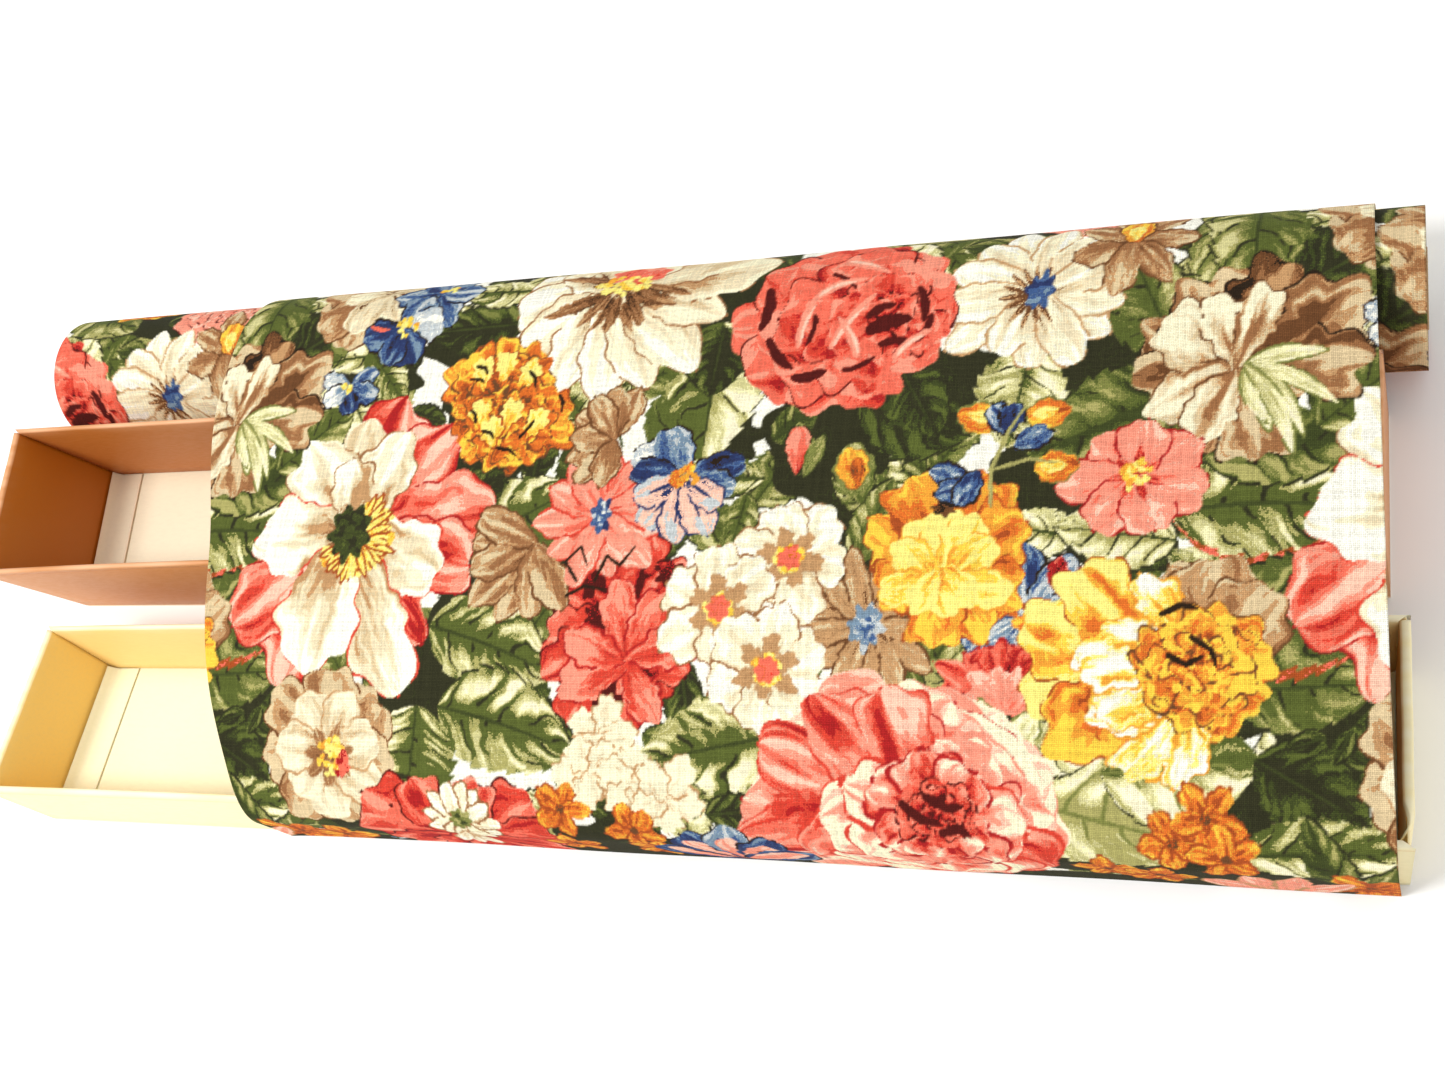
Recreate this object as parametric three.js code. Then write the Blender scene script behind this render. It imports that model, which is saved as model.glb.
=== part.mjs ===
// A bolt of printed furnishing cloth with its two-part card carton.
// The wound cloth lies behind two open trays, and a free length of the same cloth comes over the roll,
// across both tray rims and down in front of them.
// Units are millimetres. +X runs along the roll, +Y to the back, +Z up. The origin is the centre of the
// whole arrangement's outline on the table.
import * as THREE from "three";

// Driving dimensions
const roll = { length: 610, radius: 30, rightEnd: 311, axisY: 90, innerRadius: 15.3, sides: 64 };
const core = { outerRadius: 15, boreRadius: 13.2, sides: 40 };
const cloth = { thickness: 0.8, clearance: 0.7, tailAngle: -20, arcSteps: 22, curveSteps: 16 };
const card = { outer: 1.2, inner: 0.8, gap: 0.35, tabWidth: 24, flapLength: 19 };

// Each tray: outer sizes at the base, the place of its right front base corner, and how far its limp
// walls lean. leftLean is how far the left rim overhangs its base, leftRack how far the front corner of
// that end lies beyond the back one, and frontLean and backLean move the long rims back.
const baseTray = {
  prefix: "base_tray", length: 600, width: 71.5, height: 60, rightX: 297.5, frontY: -17,
  leftLean: 8.5, leftRack: 0, frontLean: -0.5, backLean: -2, yaw: 0,
  color: 0xc88f66, lining: 0xb9784a, floor: 0xf3dcc4,
};
const lidTray = {
  prefix: "lid_tray", length: 576, width: 72, height: 38, rightX: 301.2, frontY: -115.5,
  leftLean: 10, leftRack: 13, frontLean: 5.5, backLean: 8.5, yaw: 0.3,
  color: 0xfbf4cf, lining: 0xf6dd8e, floor: 0xfffbe2,
};

// Plan of the free length's two cut sides, as [y, x] points that a smooth curve joins.
const leftCut = [[122, -183], [65, -193], [-16, -178], [-75, -167], [-122, -152]];
const rightCut = [[122, 292], [-122, 300]];

const part = new THREE.Group();

function addMesh(group, name, geometry, color, roughness = 0.85) {
  const material = new THREE.MeshStandardMaterial({ color, roughness, metalness: 0 });
  const mesh = new THREE.Mesh(geometry, material);
  mesh.name = name;
  group.add(mesh);
  return mesh;
}

// A tube along X: a closed ring profile turned about the roll's axis.
function tubeAlongX(inner, outer, length, sides) {
  const half = length / 2;
  const profile = [[inner, -half], [outer, -half], [outer, half], [inner, half], [inner, -half]];
  const geometry = new THREE.LatheGeometry(profile.map(([r, y]) => new THREE.Vector2(r, y)), sides);
  return geometry.rotateZ(-Math.PI / 2);
}

function makeRoll() {
  const group = new THREE.Group();
  group.position.set(roll.rightEnd - roll.length / 2, roll.axisY, roll.radius);
  addMesh(group, "core_tube", tubeAlongX(core.boreRadius, core.outerRadius, roll.length, core.sides), 0xb49a72);
  addMesh(group, "wound_cloth", tubeAlongX(roll.innerRadius, roll.radius, roll.length, roll.sides), 0x8a8f62);
  return group;
}

// Middle line of the free length in the YZ plane, from its tail behind the roll to its front hem.
function clothLine() {
  const radius = roll.radius + cloth.clearance + cloth.thickness / 2;
  const top = roll.radius + radius;
  const rimTop = baseTray.height + cloth.clearance;
  const rimY = baseTray.frontY;
  const hangY = -122;
  const over = new THREE.Path();
  over.absarc(roll.axisY, roll.radius, radius, THREE.MathUtils.degToRad(cloth.tailAngle), Math.PI / 2, false);
  const slope = new THREE.CubicBezierCurve(
    new THREE.Vector2(rimY, rimTop), new THREE.Vector2(rimY - 30, rimTop),
    new THREE.Vector2(-82, 52), new THREE.Vector2(-106, 44.2));
  const curl = new THREE.CubicBezierCurve(
    new THREE.Vector2(-106, 44.2), new THREE.Vector2(-116, 41),
    new THREE.Vector2(hangY, 36), new THREE.Vector2(hangY, 26));
  return [
    ...over.getSpacedPoints(cloth.arcSteps),
    new THREE.Vector2(54, top),
    ...slope.getSpacedPoints(cloth.curveSteps),
    ...curl.getSpacedPoints(cloth.curveSteps).slice(1),
    new THREE.Vector2(hangY, 1.2),
  ];
}

// Gives a line in the plane its thickness: the points of one side, then those of the other side back.
function thicken(line, thickness) {
  const sideOf = (sign) => line.map((point, i) => {
    const before = line[Math.max(i - 1, 0)];
    const after = line[Math.min(i + 1, line.length - 1)];
    const along = after.clone().sub(before).normalize();
    return new THREE.Vector2(point.x - sign * along.y * thickness / 2, point.y + sign * along.x * thickness / 2);
  });
  return [...sideOf(1), ...sideOf(-1).reverse()];
}

// X of a cut side at a given y.
function cutAt(curve, y) {
  const steps = 200;
  const points = curve.getPoints(steps);
  const next = points.findIndex((point) => point.x <= y);
  if (next < 1) return next === 0 ? points[0].y : points[steps].y;
  const [a, b] = [points[next - 1], points[next]];
  return THREE.MathUtils.lerp(a.y, b.y, (a.x - y) / (a.x - b.x));
}

// The outline is drawn in YZ and extruded along X; then each end's points move to their cut side.
function makeFreeLength() {
  const outline = new THREE.Shape(thicken(clothLine(), cloth.thickness));
  const geometry = new THREE.ExtrudeGeometry(outline, { depth: 1, steps: 1, bevelEnabled: false });
  const toCurve = (points) => new THREE.SplineCurve(points.map(([y, x]) => new THREE.Vector2(y, x)));
  const [left, right] = [toCurve(leftCut), toCurve(rightCut)];
  const place = geometry.attributes.position;
  for (let i = 0; i < place.count; i++) {
    const [y, z, end] = [place.getX(i), place.getY(i), place.getZ(i)];
    place.setXYZ(i, cutAt(end > 0.5 ? right : left, y), y, z);
  }
  return geometry;
}

// Moves the points of a panel from the straight tray to the leaning one.
function lean(geometry, tray) {
  const place = geometry.attributes.position;
  for (let i = 0; i < place.count; i++) {
    const [x, y, z] = [place.getX(i), place.getY(i), place.getZ(i)];
    const [fromRight, across, up] = [1 - x / tray.length, y / tray.width, z / tray.height];
    const leftShift = tray.leftLean * up + tray.leftRack * (1 - across);
    const rimShift = up * THREE.MathUtils.lerp(tray.frontLean, tray.backLean, across);
    place.setXYZ(i, x - tray.length - fromRight * leftShift, y + rimShift, z);
  }
  return geometry;
}

// A tray folded from one card blank. Every panel is a box [x0, x1, y0, y1, z0, z1] in the straight tray,
// measured from its left front base corner.
function makeTray(tray) {
  const group = new THREE.Group();
  const { length, width, height } = tray;
  const { outer, inner, gap, tabWidth, flapLength } = card;
  const wallIn = outer + gap;
  const liningIn = wallIn + inner + gap;
  const endLiningIn = liningIn + inner;
  const floorTop = outer + gap;
  const flapTop = floorTop + inner;
  const panel = (name, [x0, x1, y0, y1, z0, z1], color) => {
    const box = new THREE.BoxGeometry(x1 - x0, y1 - y0, z1 - z0);
    box.translate((x0 + x1) / 2, (y0 + y1) / 2, (z0 + z1) / 2);
    addMesh(group, `${tray.prefix}_${name}`, lean(box, tray), color);
  };
  panel("floor", [0, length, 0, width, 0, outer], tray.floor);
  for (const side of ["front", "back"]) {
    const across = (y0, y1) => (side === "front" ? [y0, y1] : [width - y1, width - y0]);
    panel(`${side}_wall`, [0, length, ...across(0, outer), floorTop, height], tray.color);
    panel(`${side}_lining`,
      [endLiningIn + gap, length - endLiningIn - gap, ...across(wallIn, wallIn + inner), floorTop, height],
      tray.lining);
  }
  for (const side of ["left", "right"]) {
    const along = (x0, x1) => (side === "left" ? [x0, x1] : [length - x1, length - x0]);
    panel(`${side}_end`, [...along(0, outer), wallIn, width - wallIn, floorTop, height], tray.color);
    panel(`${side}_end_lining`,
      [...along(liningIn, endLiningIn), wallIn, width - wallIn, floorTop, height], tray.lining);
    panel(`${side}_floor_flap`,
      [...along(endLiningIn + gap, flapLength), liningIn, width - liningIn, floorTop, flapTop], tray.floor);
    panel(`${side}_front_tab`,
      [...along(wallIn, wallIn + inner), wallIn, tabWidth, floorTop, height - outer], tray.lining);
    panel(`${side}_back_tab`,
      [...along(wallIn, wallIn + inner), width - tabWidth, width - wallIn, floorTop, height - outer],
      tray.lining);
  }
  group.position.set(tray.rightX, tray.frontY, 0);
  group.rotation.z = THREE.MathUtils.degToRad(tray.yaw);
  return group;
}

part.add(makeRoll());
addMesh(part, "free_length", makeFreeLength(), 0xe9dcc0, 0.9);
part.add(makeTray(baseTray));
part.add(makeTray(lidTray));

export default part;
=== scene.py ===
import math

import bpy
import numpy as np
from mathutils import Matrix, Vector


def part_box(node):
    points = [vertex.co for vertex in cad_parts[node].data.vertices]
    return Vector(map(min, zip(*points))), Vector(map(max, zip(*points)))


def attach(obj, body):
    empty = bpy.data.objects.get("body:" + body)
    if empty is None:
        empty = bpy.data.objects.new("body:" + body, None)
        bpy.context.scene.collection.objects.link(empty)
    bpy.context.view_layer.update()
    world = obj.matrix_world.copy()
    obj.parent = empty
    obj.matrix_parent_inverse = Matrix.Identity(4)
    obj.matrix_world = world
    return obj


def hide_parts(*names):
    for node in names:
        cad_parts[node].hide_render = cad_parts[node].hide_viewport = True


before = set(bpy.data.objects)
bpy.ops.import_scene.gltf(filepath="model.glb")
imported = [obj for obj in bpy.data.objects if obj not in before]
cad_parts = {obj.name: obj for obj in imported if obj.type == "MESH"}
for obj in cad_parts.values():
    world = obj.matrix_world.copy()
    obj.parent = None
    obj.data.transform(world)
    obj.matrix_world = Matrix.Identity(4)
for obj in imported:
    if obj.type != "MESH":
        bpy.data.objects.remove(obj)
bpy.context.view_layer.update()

mm = 0.001


printShape = dict(repeat=428.0, low=-112.0, high=256.0, step=0.5)

# Printing inks, as everyday 0-255 colours.
inks = dict(
    white=(255, 253, 238), cream=(252, 245, 208), shell=(240, 224, 186), beige=(224, 200, 156),
    tan=(198, 152, 104),
    brown=(158, 108, 68), umber=(110, 70, 40), night=(44, 32, 20), blush=(255, 202, 176),
    salmon=(250, 154, 128),
    coral=(243, 112, 88), red=(220, 68, 50), crimson=(176, 34, 34), maroon=(84, 24, 20),
    lemon=(254, 240, 132),
    yellow=(253, 210, 72), gold=(242, 164, 56), orange=(226, 114, 42), rust=(170, 78, 34),
    pale=(250, 244, 188),
    lime=(214, 208, 146), light=(176, 170, 102), leaf=(126, 130, 66), green=(90, 100, 44), deep=(64, 72, 34),
    coal=(50, 50, 30), navy=(44, 56, 98), blue=(66, 94, 142), steel=(124, 148, 168), sky=(202, 208, 208))
ramps = dict(
    cream=("tan", "beige", "shell", "cream", "white"), daisy=("umber", "beige", "shell", "cream", "white"),
    beige=("brown", "tan", "beige", "shell", "cream"), brown=("umber", "brown", "brown", "tan", "beige"),
    mocha=("night", "umber", "brown", "tan"), coral=("crimson", "red", "coral", "salmon", "blush"),
    pink=("coral", "salmon", "salmon", "blush"), peony=("maroon", "crimson", "red", "coral", "coral",
                                                        "salmon"),
    dahlia=("maroon", "crimson", "red", "red", "coral", "salmon"), cabbage=("crimson", "red", "coral",
            "salmon", "salmon", "blush", "cream"),
    marigold=("umber", "rust", "orange", "orange", "gold", "yellow"), orange=("rust", "orange", "gold",
            "yellow"),
    yellow=("orange", "gold", "yellow", "lemon", "lemon"), navy=("night", "navy", "navy", "blue", "steel"),
    blue=("navy", "blue", "steel", "sky"), mist=("steel", "sky", "white"),
    dark=("coal", "coal", "deep", "green"), deep=("coal", "deep", "green", "leaf"),
    mid=("deep", "green", "leaf", "light"), fresh=("green", "leaf", "light", "lime"),
    pale=("green", "light", "lime", "pale", "cream"), wax=("light", "lime", "pale", "cream"))

latticeSeeds = np.random.default_rng(7).random((128, 128)).astype(np.float32)


def grain(x, y, seed=0):
    # Smooth noise from 0 to 1 with features about one unit wide.
    x, y = x + seed * 17.31, y + seed * 9.77
    xi, yi = np.floor(x).astype(int), np.floor(y).astype(int)
    fx, fy = x - xi, y - yi
    fx, fy = fx * fx * (3 - 2 * fx), fy * fy * (3 - 2 * fy)
    a, b = latticeSeeds[yi % 128, xi % 128], latticeSeeds[yi % 128, (xi + 1) % 128]
    c, d = latticeSeeds[(yi + 1) % 128, xi % 128], latticeSeeds[(yi + 1) % 128, (xi + 1) % 128]
    return (a * (1 - fx) + b * fx) * (1 - fy) + (c * (1 - fx) + d * fx) * fy


def grains(x, y, seed=0):
    return 0.58 * grain(x, y, seed) + 0.28 * grain(x * 2.1, y * 2.1, seed + 3) + 0.14 * grain(x * 4.3,
            y * 4.3, seed + 5)


class Canvas:
    # One repeat of the print: two inks and the share of the second one at every point.
    def __init__(self, shape):
        self.shape, self.step = shape, shape["step"]
        self.wide = int(round(shape["repeat"] / self.step))
        self.tall = int(round((shape["high"] - shape["low"]) / self.step))
        ground = np.array(inks["white"], np.float32) / 255
        self.near = np.tile(ground, (self.tall, self.wide, 1))
        self.far = self.near.copy()
        self.cover = np.zeros((self.tall, self.wide), np.float32)

    def window(self, x, y, reach):
        columns = np.arange(math.floor((x - reach) / self.step), math.ceil((x + reach) / self.step))
        low = self.shape["low"]
        rows = np.arange(max(0, math.floor((y - reach - low) / self.step)),
                         min(self.tall, math.ceil((y + reach - low) / self.step)))
        return (rows[:, None], columns[None] % self.wide,
                (columns[None] + 0.5) * self.step - x + 0 * rows[:, None],
                (rows[:, None] + 0.5) * self.step + low - y
                + 0 * columns[None])

    def lay(self, rows, columns, mask, ramp, tone, mix=0.42):
        # tone runs from 0, the first ink of the ramp, to 1, the last one; mix is how widely two inks share
        # dots.
        names = ramps.get(ramp, (ramp, ramp)) if isinstance(ramp, str) else ramp
        colours = np.array([inks[n] for n in names], np.float32) / 255
        t = np.clip(tone + 0 * mask, 0, 0.9999) * (len(colours) - 1)
        i = t.astype(int)
        cover = np.clip((t - i - 0.5) / mix + 0.5, 0, 1)
        r, c = np.nonzero(mask)
        at = (rows[r, 0], columns[0, c])
        self.near[at] = colours[i[r, c]]
        self.far[at] = colours[i[r, c] + 1]
        self.cover[at] = cover[r, c]


def turned(x, y, angle):
    c, s = math.cos(math.radians(angle)), math.sin(math.radians(angle))
    return x * c + y * s, -x * s + y * c


def petal(canvas, x, y, angle, length, width, ramp, seed, broad=1.25, blunt=0.62, bend=0.0, ruffle=0.05,
          light=0.5, rise=0.35, streak=0.7, cup=0.0, side=0.0, outline=None, start=0.0, margin=1.0,
          creases=0.3):
    # One painted petal from its base at x, y. The tone climbs to the tip, broken by brush streaks.
    rows, columns, px, py = canvas.window(x, y, length * 1.12 + width * 0.1)
    u, v = turned(px, py, angle)
    v = v - bend * length * (u / length) ** 2
    around = np.arctan2(v, u - length * 0.55)
    swell = 1 + ruffle * (np.sin(around * 5 + seed * 1.7) + 0.8 * np.sin(around * 9 + seed * 2.9)
                          + 1.4 * (grain(around * 2.4 + 20, around * 0 + 3.0, seed) - 0.5))
    u = (0.55 + (u / length - 0.55) / swell)
    v = v / swell
    half = width / 2 * np.sin(math.pi * np.clip(u, 0, 1) ** broad) ** blunt + 1e-6
    e = np.clip(v / half, -3, 3)
    inside = (u > start) & (u < 1) & (np.abs(e) < 1)
    brush = np.clip((grains(u * 2.4, e * 2.6 + u * 0.8, seed) - 0.5) * 1.9 + 0.5, 0, 1)
    fold = np.sin((e * (1.6 + seed % 3 * 0.5) + 0.3 * np.sin(u * 4 + seed)) * math.pi + seed * 0.37)
    dark = np.clip(fold, 0, 1) ** 5 * np.clip(1.2 - u * 1.25, 0, 1)
    bright = np.clip(-fold, 0, 1) ** 4 * np.clip(u * 1.6 - 0.4, 0, 1)
    tone = (light + rise * (u - 0.55) + streak * (brush - 0.5) + side * e - cup * (1 - e * e) * (1 - u)
            - creases * dark + creases * 0.8 * bright + 0.05 * (grain(px * 0.7, py * 0.7, seed + 2) - 0.5))
    if outline:
        wide = ((u > start) & (u < 1 + margin / length)
                & (np.abs(v) < half + margin * (0.3 + 1.2 * grains(px * 0.12, py * 0.12, seed))))
        canvas.lay(rows, columns, wide & ~inside & (grains(px * 0.1, py * 0.1, seed + 8) > 0.4), outline,
                   0.0 * u)
    canvas.lay(rows, columns, inside, ramp, tone)


def ring(canvas, x, y, count, length, width, ramp, seed, phase=0.0, squash=1.0, jitter=0.12, spread=360.0,
         **more):
    # Petals standing round a point, on a circle seen at a slant when squash is under 1.
    rng = np.random.default_rng(seed)
    order = rng.permutation(count)
    for k in order:
        a = phase + spread * k / count + rng.normal(0, 70 * jitter / count)
        ux, uy = math.cos(math.radians(a)), math.sin(math.radians(a)) * squash
        size = length * (1 + rng.normal(0, jitter * 0.6)) * math.hypot(ux, uy)
        petal(canvas, x, y, math.degrees(math.atan2(uy, ux)), size,
              width * (1 + rng.normal(0, jitter * 0.5)), ramp,
              seed + int(k) * 7 + 1, **more)


def blob(canvas, x, y, rx, ry, ramp, seed, angle=0.0, ruffle=0.14, lobes=7, light=0.5, streak=0.8,
         grainSize=0.25):
    rows, columns, px, py = canvas.window(x, y, max(rx, ry) * 1.35)
    u, v = turned(px, py, angle)
    around = np.arctan2(v / ry, u / rx)
    out = np.hypot(u / rx, v / ry)
    swell = 1 + ruffle * (np.sin(around * lobes + seed) * 0.6 + 1.6 * (grain(around * 2 + 9, around * 0,
            seed) - 0.5))
    tone = light + streak * (grains(px * grainSize, py * grainSize, seed) - 0.5)
    canvas.lay(rows, columns, out < swell, ramp, tone)


def dots(canvas, x, y, rx, ry, count, size, ramp, seed, hollow=0.0, arc=(0, 360)):
    rng = np.random.default_rng(seed)
    for k in range(count):
        a = math.radians(rng.uniform(*arc))
        d = math.sqrt(rng.uniform(hollow * hollow, 1))
        blob(canvas, x + rx * d * math.cos(a), y + ry * d * math.sin(a), size * rng.uniform(0.7, 1.3),
             size * rng.uniform(0.7, 1.3), ramp, seed + k, ruffle=0.2, lobes=3, light=rng.uniform(0.3, 0.9),
             streak=0.3)


def stroke(canvas, points, width, ink, seed=1, taper=True):
    # A brush line through the points.
    p = np.array(points, float)
    mid, reach = p.mean(0), np.abs(p - p.mean(0)).max() + width + 1
    rows, columns, px, py = canvas.window(mid[0], mid[1], reach)
    px, py = px + mid[0], py + mid[1]
    total = np.concatenate([[0], np.cumsum(np.linalg.norm(np.diff(p, axis=0), axis=1))])
    mask = np.zeros(px.shape, bool)
    for a, b, s0, s1 in zip(p[:-1], p[1:], total[:-1], total[1:]):
        d = b - a
        t = np.clip(((px - a[0]) * d[0] + (py - a[1]) * d[1]) / (d @ d), 0, 1)
        far = np.hypot(px - a[0] - t * d[0], py - a[1] - t * d[1])
        at = (s0 + t * (s1 - s0)) / total[-1]
        w = width / 2 * (np.sqrt(np.clip(1 - (2 * at - 0.8) ** 2 / 1.5, 0.02, 1)) if taper else 1)
        mask |= far < w * (0.8 + 0.5 * grain(px * 0.4, py * 0.4, seed))
    canvas.lay(rows, columns, mask, (ink, ink), np.zeros(px.shape))


def arcOf(x, y, angle, length, bend=0.0, n=9):
    out = []
    for t in np.linspace(0, 1, n):
        u, v = length * t, bend * length * t * t
        c, s = math.cos(math.radians(angle)), math.sin(math.radians(angle))
        out.append((x + u * c - v * s, y + u * s + v * c))
    return out


def leaf(canvas, x, y, angle, length, width, ramp, seed, bend=0.0, veins=5, teeth=8, tooth=0.13, vein="deep",
         light=0.45, contrast=0.55, sided=0.1, edge=None, broad=0.82):
    # A toothed leaf from its stalk at x, y. Pale flames lie between its side veins; edge is an ink along
    # one margin.
    rows, columns, px, py = canvas.window(x, y, length * 1.15 + width * 0.3)
    u, v = turned(px, py, angle)
    u = u / length
    v = v - bend * length * u * u
    uc = np.clip(u, 0, 1)
    flip = np.where(v > 0, 1.0, -1.0)
    saw = np.mod(uc * teeth + flip * 0.2 + 0.5 * grain(uc * 4, flip * 3, seed), 1)
    half = width / 2 * np.sin(math.pi * uc ** broad) ** 0.7 * (1 - tooth * saw + tooth * 0.4) + 1e-6
    half = half * (1 + 0.24 * (grain(uc * 3, flip * 5, seed) - 0.5))
    e = np.clip(np.abs(v) / half, 0, 3)
    inside = (u > 0) & (u < 1) & (e < 1)
    rim = (u > -0.01) & (u < 1.02) & ((np.abs(v) - half) < 1.7 * grains(px * 0.16, py * 0.16,
            seed + 7)) & ~inside
    canvas.lay(rows, columns, rim & (flip * (1 if seed % 2 else -1) > 0), "coal", np.zeros(px.shape))
    wander = 1.3 * (grains(px * 0.06, py * 0.06, seed) - 0.5) * np.clip(e * 2, 0, 1)
    lead = uc * veins - e ** 1.3 * 1.5 * (0.45 + 0.55 * uc) + flip * 0.24 + wander
    between = np.mod(lead, 1)
    which = np.floor(lead)
    force = 0.55 + 0.75 * grain(which * 1.7, flip * 4, seed + 6)
    reach = 0.55 + 0.6 * grain(which * 2.3 + 4, flip * 2, seed + 9)
    flame = (1.5 * between ** 0.9 * np.clip((1 - between) * 5, 0, 1) * force * np.clip(e * 2.6 - 0.3, 0, 1)
             * np.clip((reach + 0.4 - e) * 3, 0, 1))
    brush = np.clip((grains(lead * 4.5, e * 1.2 + which, seed) - 0.5) * 2.2 + 0.5, 0, 1)
    shy = 0.75 + 0.35 * flip * (1 if seed % 2 else -1)
    patches = np.clip((grains(px * 0.07, py * 0.07, seed + 1) - 0.45) * 5, 0, 1)
    tone = (light - 0.1 + contrast * (flame * 1.35 * shy - 0.45) + 0.6 * (brush - 0.5) * (0.5 + flame)
            + sided * flip - 0.2 * np.clip(1 - e * 2.4, 0, 1) - 0.26 * patches)
    canvas.lay(rows, columns, inside, ramp, tone, 0.8)
    ribs = inside & (between < 0.13 * (1.15 - e)) & (e < 0.85) & (grain(px * 0.15, py * 0.15, seed + 4) > 0.4)
    canvas.lay(rows, columns, ribs, vein, np.zeros(px.shape))
    if edge:
        band = inside & (e > 0.9 - 0.14 * grains(px * 0.2, py * 0.2, seed)) & (v > 0)
        canvas.lay(rows, columns, band, edge, grains(px * 0.3, py * 0.3, seed))
    stroke(canvas, arcOf(x, y, angle, length * 0.86, bend), max(0.8, length * 0.022), vein, seed)


def sprig(canvas, x, y, angle, length, count, size, ramp, seed, vein="deep"):
    # A stem with small leaves in pairs.
    line = arcOf(x, y, angle, length, 0.15)
    stroke(canvas, line, 1.1, vein, seed)
    for k in range(count):
        t = (k + 1) / count
        i = min(int(t * 8), 7)
        px, py = line[i]
        for s in (-1, 1):
            leaf(canvas, px, py, angle + s * (52 - 20 * t), size * (1.1 - 0.35 * t), size * 0.42, ramp,
                 seed + k * 2 + s,
                 veins=3, teeth=2, tooth=0.02, vein=vein, bend=0.08 * s)


def rose(canvas, x, y, rx, ry, heart, ramp, seed, turns=((1.0, 8), (0.78, 7), (0.58, 6), (0.4, 5), (0.24, 4)),
         gap="maroon", ruffle=0.07, light=0.55, rise=0.5, streak=0.6, inner=None, gapShare=0.3):
    # Cupped petals laid from the outside in, round a heart that may sit off centre.
    rng = np.random.default_rng(seed)
    hx, hy = heart
    for level, (k, count) in enumerate(turns):
        cx, cy = hx + (x - hx) * k, hy + (y - hy) * k
        phase = rng.uniform(0, 360)
        for j in rng.permutation(count):
            a = math.radians(phase + 360 * j / count + rng.normal(0, 6))
            ex, ey = rx * k * math.cos(a), ry * k * math.sin(a)
            tx, ty = cx + ex - hx, cy + ey - hy
            length = math.hypot(tx, ty) * (1 + rng.normal(0, 0.03))
            width = 2 * math.pi * k * (rx + ry) / 2 / count * 1.45
            use = inner if inner and level >= len(turns) - 3 else ramp
            petal(canvas, hx, hy, math.degrees(math.atan2(ty, tx)), length, width, use,
                  seed + level * 31 + int(j) * 5,
                  broad=1.9, blunt=0.5, ruffle=ruffle, light=light, rise=rise, streak=streak, start=0.12,
                  side=rng.uniform(-0.12, 0.12), outline=gap if rng.random() < gapShare else None)


def paintGround(c):
    # Dark ground between the leaves.
    for x, y, rx, ry, angle in (
            (-49, 76, 20, 16, 20), (-50, 148, 24, 22, 0), (-37, 124, 20, 14, 0), (-70, 168, 16, 12, 0),
            (57, 4, 20, 13, -25), (100, 66, 24, 26, 0), (128, 45, 26, 22, 0), (-150, 3, 22, 16, 10),
            (-110, 22, 24, 12, 0), (182, 84, 20, 18, 0), (189, 173, 20, 9, 0), (212, 222, 44, 13, 0),
            (196, 49, 14, 20, 0), (282, 69, 8, 6, 0), (80, 205, 16, 8, 0), (-150, 190, 14, 16, 40),
            (-90, 225, 40, 12, 0), (20, 225, 34, 16, 0), (122, 118, 30, 30, 0), (205, 100, 24, 14, 0),
            (268, 150, 26, 30, 0), (12, 120, 26, 16, 0), (-160, 130, 18, 40, 0), (268, -14, 26, 14, 0),
            (40, -45, 60, 20, 0), (-120, -45, 60, 18, 0), (160, -42, 50, 16, 0), (90, 176, 14, 20, 0),
            (-175, 66, 14, 14, 0), (150, -80, 120, 24, 0), (-60, -88, 120, 22, 0), (-168, 232, 30, 14, 0),
            (120, 240, 60, 14, 0), (-30, 248, 90, 14, 0), (90, 250, 90, 12, 0), (200, 250, 60, 14, 0),
            (-130, 250, 60, 12, 0), (-70, 10, 16, 12, 0), (-64, 38, 10, 12, 0), (60, 60, 14, 10, 0),
            (150, 40, 18, 14, 0), (210, 40, 26, 12, 0), (-140, 140, 10, 20, 0), (170, 100, 20, 16, 0),
            (250, 200, 30, 16, 0)):
        blob(c, x, y, rx, ry, "dark", int(x * 3 + y) % 97, angle, ruffle=0.2, lobes=6, light=0.22,
             streak=0.9, grainSize=0.16)


def paintUndergrowth(c):
    # Loose leaves under everything, so that little bare cloth shows.
    rng = np.random.default_rng(12)
    for y in range(-100, 256, 23):
        for x in range(0, 428, 27):
            if rng.random() < 0.24:
                continue
            leaf(c, x + rng.uniform(-9, 9), y + rng.uniform(-8, 8), rng.uniform(0, 360), rng.uniform(30, 46),
                 rng.uniform(16, 26), ("pale", "fresh", "mid", "deep", "pale", "wax")[rng.integers(6)],
                 int(rng.integers(90)), light=rng.uniform(0.4, 0.6), bend=rng.uniform(-0.12, 0.12))


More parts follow.
